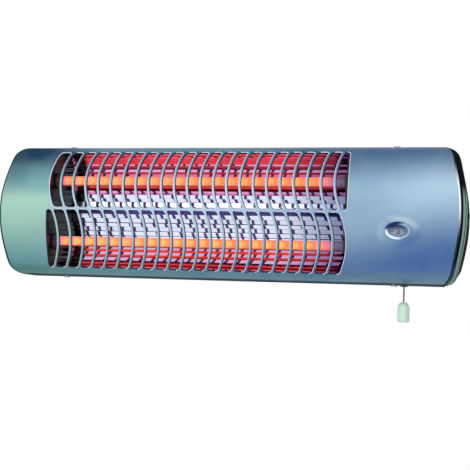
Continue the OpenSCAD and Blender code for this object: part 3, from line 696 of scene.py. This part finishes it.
def sheet_normal(x, s):
    step = 0.4
    along = sheet_point(x + step, s, 0) - sheet_point(x - step, s, 0)
    up = sheet_point(x, s + step, 0) - sheet_point(x, s - step, 0)
    return along.cross(up).normalized()


GRID_ROWS, GRID_COLUMNS = 49, 62
GRID_INSET = 3.0
HOLE_MARGIN = 0.9  # room between a hole's outline and the grid's points
DIAL_RINGS, DIAL_RING_POINTS = 8, 40
DIAL_RING_W, DIAL_RING_H = 1.6, 1.3


def in_hole(x, s, grow):
    return in_slots(x, s, grow) or in_window(x, s, grow) or in_pull_hole(x, s, grow)


def sheet_triangles(grow, rim):
    """Points and triangles that fill the sheet between its rim and its holes."""
    flat, edges = [], []
    for loop in [rim] + slot_outlines(grow) + [window_outline(grow), pull_outline(grow)]:
        first = len(flat)
        flat += [Vector(p) for p in loop]
        edges += [(first + k, first + (k + 1) % len(loop)) for k in range(len(loop))]
    for r in range(1, GRID_ROWS):
        s = -SHEET_ARC + 2 * SHEET_ARC * r / GRID_ROWS
        reach = end_at(sheet_at(s)[1]) - GRID_INSET
        for c in range(GRID_COLUMNS + 1):
            x = -reach + 2 * reach * c / GRID_COLUMNS
            if not in_hole(x, s, grow + HOLE_MARGIN):
                flat.append(Vector((x, s)))
    for ring in range(1, DIAL_RINGS + 1):
        half_w, half_h = WINDOW_W / 2 + grow + DIAL_RING_W * ring, WINDOW_H / 2 + grow + DIAL_RING_H * ring
        flat += [Vector(p) for p in around(DIAL_X, DIAL_S, half_w, half_h, DIAL_RING_POINTS, ring / 2)]
    points, _, faces, _, _, _ = delaunay_2d_cdt(flat, edges, [], 1, 1e-5, True)
    kept = []
    for face in faces:
        x = sum(points[i][0] for i in face) / 3
        s = sum(points[i][1] for i in face) / 3
        if not in_hole(x, s, grow):
            kept.append(tuple(face))
    return points, kept


RIM_SIDE, RIM_TOP = 96, 60  # steps along an end and along the top


def rim_loop(inset):
    """[x, s] points round the sheet's edge, in the same number for every inset."""
    back = SHEET_ARC - 0.01
    side = [back * (2 * k / RIM_SIDE - 1) for k in range(RIM_SIDE + 1)]
    right = [(end_at(sheet_at(s)[1]) - inset, s) for s in side]
    last = right[-1][0]
    top = [(last - 2 * last * k / RIM_TOP, back) for k in range(1, RIM_TOP)]
    left = [(-x, s) for x, s in reversed(right)]
    bottom = [(-last + 2 * last * k / RIM_TOP, -back) for k in range(1, RIM_TOP)]
    return right + top + left + bottom


ROLL_STEPS = 4
RIM_ROLL, RIM_DEPTH = 1.8, 1.6
PULL_ROLL = 0.3
INNER_INSET = 0.2
RIB_MARGIN_W, RIB_MARGIN_H = 6.0, 3.0  # how far past the slots the inner face lies as deep as the ribs


def front_cover():
    """The front sheet with every edge of its slots rolled inwards, and the sheet's inner face."""
    points, normals, faces, looks = [], [], [], []
    # looks: outer face, inner face, painted highlight, painted shade, painted glint
    outside, inside, bright, shade, glint = range(5)

    def add(point, normal):
        points.append(point)
        normals.append(normal)
        return len(points) - 1

    def add_face(corners, look):
        faces.append(corners)
        looks.append(look)

    flat, triangles = sheet_triangles(ROLL_R, rim_loop(RIM_ROLL))
    for x, s in flat:
        add(sheet_point(x, s, 0), sheet_normal(x, s))
    for face in triangles:
        add_face(face, outside)

    def roll(outer, inner, r, depth_end, ring_looks, hole=True, lit=()):
        """Rolls an edge from one outline down to the next, then straight in; lit points get a painted
        highlight on their first two rings.
        """
        start = []
        for (x0, s0), (x1, s1) in zip(outer, inner):
            normal = sheet_normal(x0, s0)
            towards = (sheet_point(x1, s1, 0) - sheet_point(x0, s0, 0)).normalized()
            start.append(((x0, s0), (x1, s1), normal, towards))
        rings = []
        for k in range(ROLL_STEPS + 1):
            a = math.pi / 2 * k / ROLL_STEPS
            share, below = math.sin(a), r * (1 - math.cos(a))
            rings.append([add(sheet_point(p[0] + (q[0] - p[0]) * share, p[1] + (q[1] - p[1]) * share, below),
                              (math.cos(a) * n + math.sin(a) * t)) for p, q, n, t in start])
        rings.append([add(sheet_point(*q, depth_end), t) for p, q, n, t in start])
        count = len(outer)
        for step, (upper, lower, look) in enumerate(zip(rings, rings[1:], ring_looks)):
            for k in range(count):
                m = (k + 1) % count
                face = (upper[k], upper[m], lower[m], lower[k])
                add_face(face if hole else face[::-1], glint if k in lit and step < 2 else look)

    # past its first ring, each slot's rolled edge carries painted shade; a painted glint runs along the left
    # edge of each rib, and all round the first slot
    slot_looks = [outside, shade, shade, shade, shade]
    for number, (outer, inner) in enumerate(zip(slot_outlines(ROLL_R), slot_outlines(0.0))):
        half = len(outer) // 2
        lit = range(half) if number <= 2 * RIB_COUNT else range(half, 2 * half)
        if number == 0:
            lit = range(2 * half)
        roll(outer, inner, ROLL_R, RIB_DEPTH, slot_looks, lit=lit)
    roll(window_outline(ROLL_R), window_outline(0.0), ROLL_R, SHEET_T, [outside] * 5)
    roll(pull_outline(ROLL_R), pull_outline(0.0), PULL_ROLL, SHEET_T, [outside] * 5)
    # the rim's first rings carry the painted highlight of the sheet's end, its last ones painted shade
    roll(rim_loop(RIM_ROLL), rim_loop(0.0), RIM_ROLL, RIM_DEPTH, [bright] * 3 + [shade] * 2, hole=False)

    def inner_depth(x, s):
        wide, high = abs(x - GRILLE_X) - GRILLE_HALF, abs(sheet_at(s)[1]) - SLOT_HIGH
        return RIB_DEPTH if wide < RIB_MARGIN_W and high < RIB_MARGIN_H else SHEET_T

    flat, triangles = sheet_triangles(0.0, rim_loop(INNER_INSET))
    first = len(points)
    for x, s in flat:
        add(sheet_point(x, s, inner_depth(x, s)), -sheet_normal(x, s))
    for face in triangles:
        add_face(tuple(first + i for i in reversed(face)), inside)
    back = inner_steel("inner_steel", (100, 112, 200), (126, 138, 226))
    # painted shade for the rolled edges
    shaded = inner_steel("shaded_edge", (26, 30, 60), (48, 52, 92))
    materials = [satin_metal(), back, painted_highlight_edge(), shaded, painted_glint_roll()]
    piece = make_object("front_shell", points, faces, materials, "case", normals, looks=looks)
    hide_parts("front_cover")


# ---- the reflector
REFLECTOR_FRONT, REFLECTOR_DEEP, REFLECTOR_HALF = 19.5, 31.0, 30.0
STRIPS = 10
TROUGH_TURN = 150.0
RIDGE_SHARE = 0.4
# the clear tint is the metal's own; red, blush, rose and wine are painted reflection of the tubes' glow, and
# the shade tone is painted shade
REFLECTOR_TINTS = [("clear", (230, 233, 252)), ("red", (231, 115, 152)), ("blush", (228, 168, 205)),
                   ("painted_shade_tone", (84, 24, 60)), ("rose", (225, 120, 190)), ("wine", (186, 78, 124))]
CLEAR, RED, BLUSH, SHADE_ROW, ROSE, WINE = range(6)
# Rows of the reflector from its upper edge down: [lowest height, lean, how far its edges turn, tint].
# The lean of a row is the angle, in degrees, by which it looks up.
ROWS = [(60.4, -47, 4, RED), (56.6, -41, 5, RED), (53.6, -36, 4, RED), (52.2, -5.3, 1, BLUSH),
        (49.8, -27, 4, WINE), (48.9, -9, 3, SHADE_ROW), (46, 0.8, 2, BLUSH), (44.3, -19, 4, WINE),
        (37, -4, 4, RED), (28.6, 2, 4, RED), (25.2, 8, 4, SHADE_ROW), (22.6, -12.6, 1, BLUSH),
        (20.8, -13, 2, ROSE), (16.4, 3.1, 0, CLEAR), (11.6, -9.4, 0, CLEAR), (6.6, 10.1, 0, CLEAR),
        (2.6, -3, 1, CLEAR), (-2.2, -3.4, -4, CLEAR), (-6.4, -7.5, 1, CLEAR), (-10.6, -14.9, 1, CLEAR),
        (-14.8, -0.6, 1, CLEAR), (-19, -7.4, 1, CLEAR), (-24, 4.5, 1, CLEAR), (-31, 3, 4, CLEAR),
        (-36.5, 4, 4, RED), (-39, -7.7, 2, BLUSH), (-42, 8, 3, RED), (-45, 0.3, 2, BLUSH),
        (-48.2, 17.5, 5, RED), (-51.8, -0.3, 2, BLUSH), (-54.5, 20, 8, SHADE_ROW), (-62.8, 33, 12, RED)]
UPPER_EDGE_Z = 62.8
FACE_STEPS = 6
REFLECTOR_T = 0.6


def reflector_depth(z):
    """Depth of the CAD's trough at a height, on straight lines between its corners."""
    corners = []
    for k in range(STRIPS + 1):
        a = math.radians(TROUGH_TURN * k / STRIPS)
        corners.append((TUBE_Z + REFLECTOR_HALF * math.cos(a),
                        REFLECTOR_FRONT + REFLECTOR_DEEP * math.sin(a)))
    corners.append((0.0, REFLECTOR_FRONT + REFLECTOR_DEEP * RIDGE_SHARE))
    for (z0, d0), (z1, d1) in zip(corners, corners[1:]):
        if abs(z) >= z1:
            return d0 + (d1 - d0) * min(1.0, max(0.0, (z0 - abs(z)) / (z0 - z1)))
    return corners[-1][1]


def reflector_faces():
    """Lines of [depth, height] points, one for each row from the upper edge to the lower one."""
    lines = []
    top = UPPER_EDGE_Z
    for low, lean, edge_turn, _ in ROWS:
        middle = (top + low) / 2
        rise = (top - low) * math.tan(math.radians(edge_turn)) / 4
        line = []
        for i in range(FACE_STEPS + 1):
            t = i / FACE_STEPS
            z = top + (low - top) * t
            depth = reflector_depth(middle) + (z - middle) * math.tan(math.radians(lean))
            line.append((depth - rise * 4 * t * (1 - t), z))
        lines.append(line)
        top = low
    return lines


def stepped_reflector():
    """The reflector's strips as shallow rounded faces, joined by narrow steps."""
    face, sharp = [], set()
    for line in reflector_faces():
        sharp |= {len(face), len(face) + len(line) - 1}
        face += line
    n = len(face)
    ends = (PLATE_LEFT + PLATE_T, PLATE_RIGHT)
    points = [in_row(x, d + back, z) for back in (0, REFLECTOR_T) for x in ends for d, z in face]
    faces, looks = [], []
    for k in range(n - 1):
        faces.append((k, n + k, n + k + 1, k + 1))
        looks += [ROWS[min(k // (FACE_STEPS + 1), len(ROWS) - 1)][3]] + [CLEAR] * 3
        faces.append((2 * n + k, 2 * n + k + 1, 3 * n + k + 1, 3 * n + k))
        faces.append((k, k + 1, 2 * n + k + 1, 2 * n + k))
        faces.append((n + k, 3 * n + k, 3 * n + k + 1, n + k + 1))
    faces.append((0, 2 * n, 3 * n, n))
    faces.append((n - 1, 2 * n - 1, 4 * n - 1, 3 * n - 1))
    looks += [CLEAR] * 2
    materials = [polished_reflector(f"reflector_{name}", tint) for name, tint in REFLECTOR_TINTS]
    piece = make_object("stepped_reflector", points, faces, materials, "case", looks=looks)
    for edge in piece.data.edges:
        low, high = sorted(edge.vertices)
        across = high - low == n and low % n in sharp
        edge.use_edge_sharp = across or low // n == high // n or high - low == 2 * n
    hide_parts("reflector")


# ---- wound wires
COIL_R, COIL_WIRE_R = 3.2, 0.45
COIL_TURNS, COIL_TURN_STEPS = 110, 14
COIL_INSET = 14


def coils():
    """The heating wires, wound inside the tubes."""
    hot = glowing_wire()
    x0, x1 = PLATE_LEFT + COIL_INSET, PLATE_RIGHT - COIL_INSET
    count = COIL_TURNS * COIL_TURN_STEPS
    for name, side in (("upper", 1), ("lower", -1)):
        points = []
        for k in range(count + 1):
            a = 2 * math.pi * k / COIL_TURN_STEPS
            points.append(in_row(x0 + (x1 - x0) * k / count, TUBE_DEPTH + COIL_R * math.cos(a),
                                 side * TUBE_Z + COIL_R * math.sin(a)))
        curve = round_curve(f"coil_{name}_wound", points, COIL_WIRE_R, 1)
        curve.materials.append(hot)
        piece = placed(f"coil_{name}_wound", curve, "case")
        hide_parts(f"coil_{name}")


SPRING_LOW, SPRING_HIGH = -27.4, -8.1
SPRING_R, SPRING_WIRE_R = 3.1, 0.38
SPRING_TURNS, SPRING_TURN_STEPS = 9, 20


def return_spring():
    """The lever's spring: a wound wire, made at its resting length."""
    sides = 8
    count = SPRING_TURNS * SPRING_TURN_STEPS
    foot, rise = SPRING_LOW + SPRING_WIRE_R, SPRING_HIGH - SPRING_LOW - 2 * SPRING_WIRE_R
    points = []
    for k in range(count + 1):
        a = 2 * math.pi * k / SPRING_TURN_STEPS
        for m in range(sides):
            b = 2 * math.pi * m / sides
            r = SPRING_R + SPRING_WIRE_R * math.cos(b)
            points.append(in_row(PULL_X + r * math.cos(a), PULL_DEPTH + r * math.sin(a),
                                 foot + rise * k / count + SPRING_WIRE_R * math.sin(b)))
    faces = bands(0, count + 1, sides)
    faces += [tuple(range(sides)), tuple(reversed(range(count * sides, (count + 1) * sides)))]
    steel = nodes["wall_bracket"].data.materials[0]
    piece = make_object("wound_spring", points, faces, [steel], "case")
    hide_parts("return_spring")
    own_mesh(piece)


# ---- turned pieces
def smooth_line(points, steps):
    """A smooth curve through points of any dimension."""
    def value(p, q, r, v, t):
        bend, twist = 2 * p - 5 * q + 4 * r - v, 3 * q - p - 3 * r + v
        return 0.5 * (2 * q + (r - p) * t + bend * t * t + twist * t**3)

    ends = [points[0]] + points + [points[-1]]
    line = [tuple(value(*values, k / steps) for values in zip(*four))
            for four in zip(ends, ends[1:], ends[2:], ends[3:]) for k in range(steps)]
    return line + [points[-1]]


def straight_line(points, steps):
    """Points of any dimension on straight lines from each one to the next."""
    line = [tuple(a + (b - a) * k / steps for a, b in zip(p, q))
            for p, q in zip(points, points[1:]) for k in range(steps)]
    return line + [points[-1]]


TOGGLE_TOP = -87.3
# [radius, height below the top] of the toggle
TOGGLE_LINE = [(0.9, 0), (2.4, -0.25), (4.1, -1.5), (5.4, -3.5), (6.1, -6.2), (6.3, -9.2), (6.3, -13),
               (6.3, -17.2), (6.15, -19.2), (5.4, -20.3), (3.8, -20.7), (0.5, -20.7)]


def toggle():
    """The round-shouldered toggle on the end of the cord, turned about the cord's line."""
    profile = smooth_line(TOGGLE_LINE, 5)
    count = 48
    points = [in_row(x, depth, TOGGLE_TOP + h)
              for r, h in profile for x, depth in around(PULL_X, PULL_DEPTH, r, r, count)]
    faces = bands(0, len(profile), count)
    foot = (len(profile) - 1) * count
    faces += [tuple(range(count)), tuple(reversed(range(foot, foot + count)))]
    piece = make_object("toggle_knob", points, faces, [toggle_plastic()], "pull")
    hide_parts("pull_toggle")
    return piece


# ---- the indicator
def window_point(u, v, below):
    """A point of the window's own plane: across, up along the sheet, and below it."""
    depth, z, n_depth, n_z = sheet_at(DIAL_S)
    return in_row(DIAL_X + u, depth + n_z * v - n_depth * below, z - n_depth * v - n_z * below)


# [inset from the bezel's outline, distance below the sheet] of the bezel and of the lens
BEZEL_LINE = [(0.0, 1.2), (0.05, 0.3), (0.4, -0.4), (1.2, -0.85), (2.2, -0.8), (3.1, -0.3), (3.6, 0.5),
              (3.8, 1.6), (3.9, 2.6)]
LENS_INSET, LENS_REACH = 3.8, 5.1
LENS_EDGE, LENS_BACK, LENS_DOME = 1.0, 1.9, 0.5


def oval(name, line, material, body):
    """An oval ring or plate from [inset, below] points."""
    count = 64
    points = []
    for inset, below in line:
        ring = around(0, 0, BEZEL_W / 2 - inset, BEZEL_H / 2 - inset, count)
        points += [window_point(u, v, below) for u, v in ring]
    return make_object(name, points, bands(0, len(line), count, turned=True), [material], body)


def indicator():
    """The bezel, the lens that it holds, and the digits behind them."""
    bezel = oval("oval_bezel", smooth_line(BEZEL_LINE, 4), bezel_metal(), "case")
    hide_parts("dial_bezel")
    dome = [(LENS_INSET, LENS_BACK)]
    dome += [(LENS_INSET + LENS_REACH * k / 8, LENS_EDGE - LENS_DOME * math.sin(math.pi / 2 * k / 8))
             for k in range(9)]
    lens = oval("domed_lens", dome, clear_lens(), "case")
    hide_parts("dial_lens")
    digits()


DIGIT_COUNT = 12
DIGIT_SIZE, DIGIT_THICK, DIGIT_BOLD = 8.4, 0.05, 0.25
DIGIT_RING_R, DIGIT_DEPTH = 11.2, 5.55


def digits():
    """Plain numbers 0 to 3, printed three times round the disc, with the 2 in the window at rest."""
    ink = plastic("digit_ink", (34, 16, 110), 0.6)
    for k in range(DIGIT_COUNT):
        turn = -2 * math.pi * k / DIGIT_COUNT
        text = bpy.data.curves.new(f"digit_{k}", "FONT")
        text.body = str((k + 2) % 4)
        text.size = DIGIT_SIZE * MM
        text.align_x = text.align_y = "CENTER"
        text.extrude = DIGIT_THICK * MM
        text.offset = DIGIT_BOLD * MM
        text.materials.append(ink)
        made = placed(f"printed_digit_{k}", text)
        across = Vector((math.cos(turn), 0, math.sin(turn)))
        up = Vector((-math.sin(turn), 0, math.cos(turn)))
        axes = Matrix((across, up, across.cross(up))).transposed().to_4x4()
        at = in_row(DIAL_X + DIGIT_RING_R * math.sin(turn), DIGIT_DEPTH,
                    DISC_Z - DIGIT_RING_R * math.cos(turn))
        made.matrix_world = Matrix.Translation(at) @ axes
        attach(made, "indicator")


# ---- end caps
CAP_RISE = 6.7
PIVOT_DEPTH = 34.0
ARM_W = 20.0
ARM_CLEAR = 2.9
TILT_DOWN, TILT_UP = 30.0, 10.0
PAN_HALF_LEN = HALF_LEN - END_BOW - 2.5
CAP_WALL = 2.2
# [stand-out, drawn in at top and bottom, drawn in at the nose, paint] from the metal's edge outwards: a
# dark channel, two beads with a groove between them, and a flat face. Paint marks where the cap's painted
# reflection goes: 1 on a bead and -1 in the channel.
CAP_LINE = [(0.95, 0.3, 1.8, -1), (2.6, 0.8, 4.2, -1), (3.1, 0.9, 5.0, 1), (4.8, 1.6, 8.2, 1),
            (5.1, 1.9, 8.9, 0), (5.45, 2.2, 9.6, 0), (5.7, 2.5, 10.2, 1), (6.3, 3.6, 12.0, 1),
            (6.6, 5.0, 14.0, 0.5), (6.7, 8.0, 17.0, 0.0), (6.7, 12.0, 19.0, 0.0), (6.7, 20.0, 24.0, 0.0),
            (6.7, 49.0, 36.0, 0.0)]
CAP_BACK = 0.1  # drawn in at the back, as a share of what is drawn in at the nose
CAP_EDGE, CAP_HOLD = 6.5, 0.5  # a drawn-in line keeps the bow of the edge, less this much or this share
CAP_DRAFT = 1.5
CAP_MIDDLE = 0.55  # depth of the point that closes the flat face, as a share of the case's
SKIRT_INSET = 1.2
SKIRT_SHRINK = (HALF_H - SKIRT_INSET) / HALF_H
SKIRT_RISE = 0.6
SKIRT_STEP = 0.8
ARM_SLOT_X = 233.1
NOSE_STEPS, BACK_STEPS = 72, 12


def cap_outline():
    """[depth, height] points round the closed case, from its lower back corner round the nose."""
    front = [sheet_at(SHEET_ARC * (2 * k / NOSE_STEPS - 1))[:2] for k in range(NOSE_STEPS + 1)]
    slot = [z / SKIRT_SHRINK for z in arm_slot_reach()]
    even = [PAN_BACK_H / 2 * (1 - 2 * k / BACK_STEPS) for k in range(BACK_STEPS + 1)]
    back = [(CASE_DEPTH, z) for z in sorted(even + slot, reverse=True)]
    slope_depth, slope_z = (COVER_DEPTH + CASE_DEPTH) / 2, (HALF_H + PAN_BACK_H / 2) / 2
    return front + [(slope_depth, slope_z)] + back + [(slope_depth, -slope_z)]


def arm_slot_reach():
    """Lowest and highest z of the slot that a bracket arm swings in, at the back of a cap."""
    lever = CASE_DEPTH - PIVOT_DEPTH
    reach = [lever * math.tan(math.radians(t)) + ARM_W / 2 / math.cos(math.radians(t)) + ARM_CLEAR
             for t in (TILT_DOWN, TILT_UP)]
    return -reach[0], reach[1]


def end_cap(name, side, look):
    """A moulded end cap: a rim against the metal, beads, a flat outer face, and its skirt."""
    outline = cap_outline()
    count = len(outline)
    line = straight_line(CAP_LINE, 4)
    points, paint, faces = [], [], []

    def add_face(face):
        faces.append(face[::-1] if side > 0 else face)

    for rise, drawn, nose, pale in line:
        keep = (CASE_DEPTH - (1 + CAP_BACK) * nose) / CASE_DEPTH
        for depth, height in outline:
            draft = CAP_DRAFT * max(0.0, depth - CORNER_DEPTH) / (CASE_DEPTH - CORNER_DEPTH)
            z = height * (HALF_H - drawn - draft) / HALF_H
            lowered = max(CAP_HOLD * drawn, drawn - CAP_EDGE)
            bow = bow_at(height * (HALF_H - lowered) / HALF_H, END_BOW + EDGE_OUT)
            points.append(in_row(side * (HALF_LEN + rise - bow), nose + depth * keep, z))
            paint.append(pale)
    for face in bands(0, len(line), count, turned=True):
        add_face(face)
    last = (len(line) - 1) * count
    middle = len(points)
    points.append(in_row(side * (HALF_LEN + CAP_RISE), CASE_DEPTH * CAP_MIDDLE, 0))
    paint.append(paint[-1])
    for k in range(count):
        add_face((last + k, last + (k + 1) % count, middle))

    first = len(points)
    for x in (PAN_HALF_LEN + 0.1, ARM_SLOT_X, None):
        for depth, height in outline:
            z = height * SKIRT_SHRINK
            edge = HALF_LEN - bow_at(z, END_BOW) + SKIRT_RISE
            at = edge if x is None else min(x, edge - SKIRT_STEP)
            lower = SKIRT_INSET + depth * (CASE_DEPTH - SKIRT_INSET) / CASE_DEPTH
            points.append(in_row(side * at, lower, z))
            paint.append(0.0)
    low, high = arm_slot_reach()
    for i in range(2):
        strip = bands(first + i * count, 2, count, turned=True)
        for face, (d0, z0), (d1, z1) in zip(strip, outline, outline[1:] + outline[:1]):
            at_back = min(d0, d1) > CASE_DEPTH - 0.01 and low < SKIRT_SHRINK * (z0 + z1) / 2 < high
            if i or not at_back:
                add_face(face)
    piece = make_object(name, points, faces, [look], "case")
    # pale marks where the cap gets its painted reflection
    piece.data.attributes.new("pale", "FLOAT", "POINT").data.foreach_set("value", paint)
    thick = piece.modifiers.new("wall", "SOLIDIFY")
    thick.thickness = CAP_WALL * MM
    thick.offset = -1.0
    thick.use_rim = True
    return piece


def cap_plastic():
    """Glossy plastic, nearly black, with a painted grey-green reflection on its beads below their upper part
    and in its channel near the bottom.
    """
    s = Shader("cap_gloss", Specular_IOR_Level=0.0, Coat_Weight=0.04, Coat_Roughness=0.2)
    pale = s.node("Attribute", attribute_name="pale").outputs["Fac"]
    z = s.axis("Z")
    # painted reflection on the beads below their upper part, and in the channel near the bottom
    low = s.math("MULTIPLY", pale, s.between(z, 0.030, 0.014), clamp=True)
    painted_channel_reflection = s.product(s.between(pale, 0.0, -0.6), s.between(z, -0.044, -0.060))
    fine = s.noise(500, 2.0)
    dark = s.mix(painted_channel_reflection, (6, 10, 14), (66, 90, 94))
    painted_bead_reflection = s.mix(s.noise(40), (112, 144, 142), (142, 172, 168))
    s.paint(low, dark, painted_bead_reflection)
    s.roughen(fine, 0.3, 0.4)
    s.bump(fine, 0.04, 0.0002)
    return s.material


def end_caps():
    look = cap_plastic()
    for word, side in (("left", -1), ("right", 1)):
        piece = end_cap(f"moulded_cap_{word}", side, look)
        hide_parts(f"end_cap_{word}")


# ---- cord
CORD_HEIGHTS = [-50 - 2.5 * k for k in range(15)] + [TOGGLE_TOP]
PULL_DEPTH = CORNER_DEPTH + PULL_SETBACK
CORD_D = 1.8


def pull_cord():
    """The cord from the lever to the toggle, on the points of the part's source."""
    route = [in_row(PULL_X, PULL_DEPTH, z) for z in CORD_HEIGHTS]
    curve = round_curve("cord", route, CORD_D / 2, 4)
    curve.materials.append(braided_cord())
    piece = placed("braided_cord", curve, "pull")
    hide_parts("pull_cord")
    toggle()


# ---- stage and light
FLOOR_HALF, FLOOR_Z = 6.0, -0.45
FLOOR_WHITE = 0.94  # share of plain white in what is seen of the floor
WORLD_LIGHT = 0.85  # the world's strength where it gives light, and 1 where it is seen


def stage():
    """A pale floor and an even white world, which light the case a little less than they look."""
    bpy.context.scene.view_settings.view_transform = "Standard"
    mesh = bpy.data.meshes.new("floor")
    corners = [(x * FLOOR_HALF, y * FLOOR_HALF, FLOOR_Z) for x, y in ((-1, -1), (1, -1), (1, 1), (-1, 1))]
    mesh.from_pydata(corners, [], [(0, 1, 2, 3)])
    s = Shader("floor_paper", Roughness=0.9)
    s.paint(s.noise(3), [0.86, 0.87, 0.88], [0.9, 0.9, 0.9])
    white = s.node("Emission", {"Color": (1, 1, 1, 1), "Strength": 1.0}).outputs[0]
    share = s.product(s.seen(), FLOOR_WHITE)
    both = s.node("MixShader", {0: share, 1: s.main.outputs[0], 2: white})
    s.tree.links.new(both.outputs[0], s.tree.nodes["Material Output"].inputs[0])
    mesh.materials.append(s.material)
    placed("floor", mesh)

    world = bpy.data.worlds.new("studio")
    bpy.context.scene.world = world
    world.use_nodes = True
    w = Nodes(world.node_tree)
    back = w.tree.nodes["Background"]
    back.inputs[0].default_value = (1, 1, 1, 1)
    w.tree.links.new(w.evenly(w.seen(), WORLD_LIGHT, 1.0), back.inputs[1])


def lamp(name, at, target, size, power):
    data = bpy.data.lights.new(name, "AREA")
    data.shape = "DISK"
    data.size = size
    data.energy = power
    made = placed(name, data)
    made.location = at
    made.rotation_euler = (Vector(target) - Vector(at)).to_track_quat("-Z", "Y").to_euler()


make_camera()
pull_cord()
stage()
dress_cad_nodes()
front_cover()
stepped_reflector()
coils()
return_spring()
indicator()
end_caps()
lamp("key", (-0.5, -1.6, 0.9), (0, 0, 0), 1.0, 1.6)
lamp("fill", (1.3, -1.2, 0.2), (0, 0, 0), 1.2, 0.6)
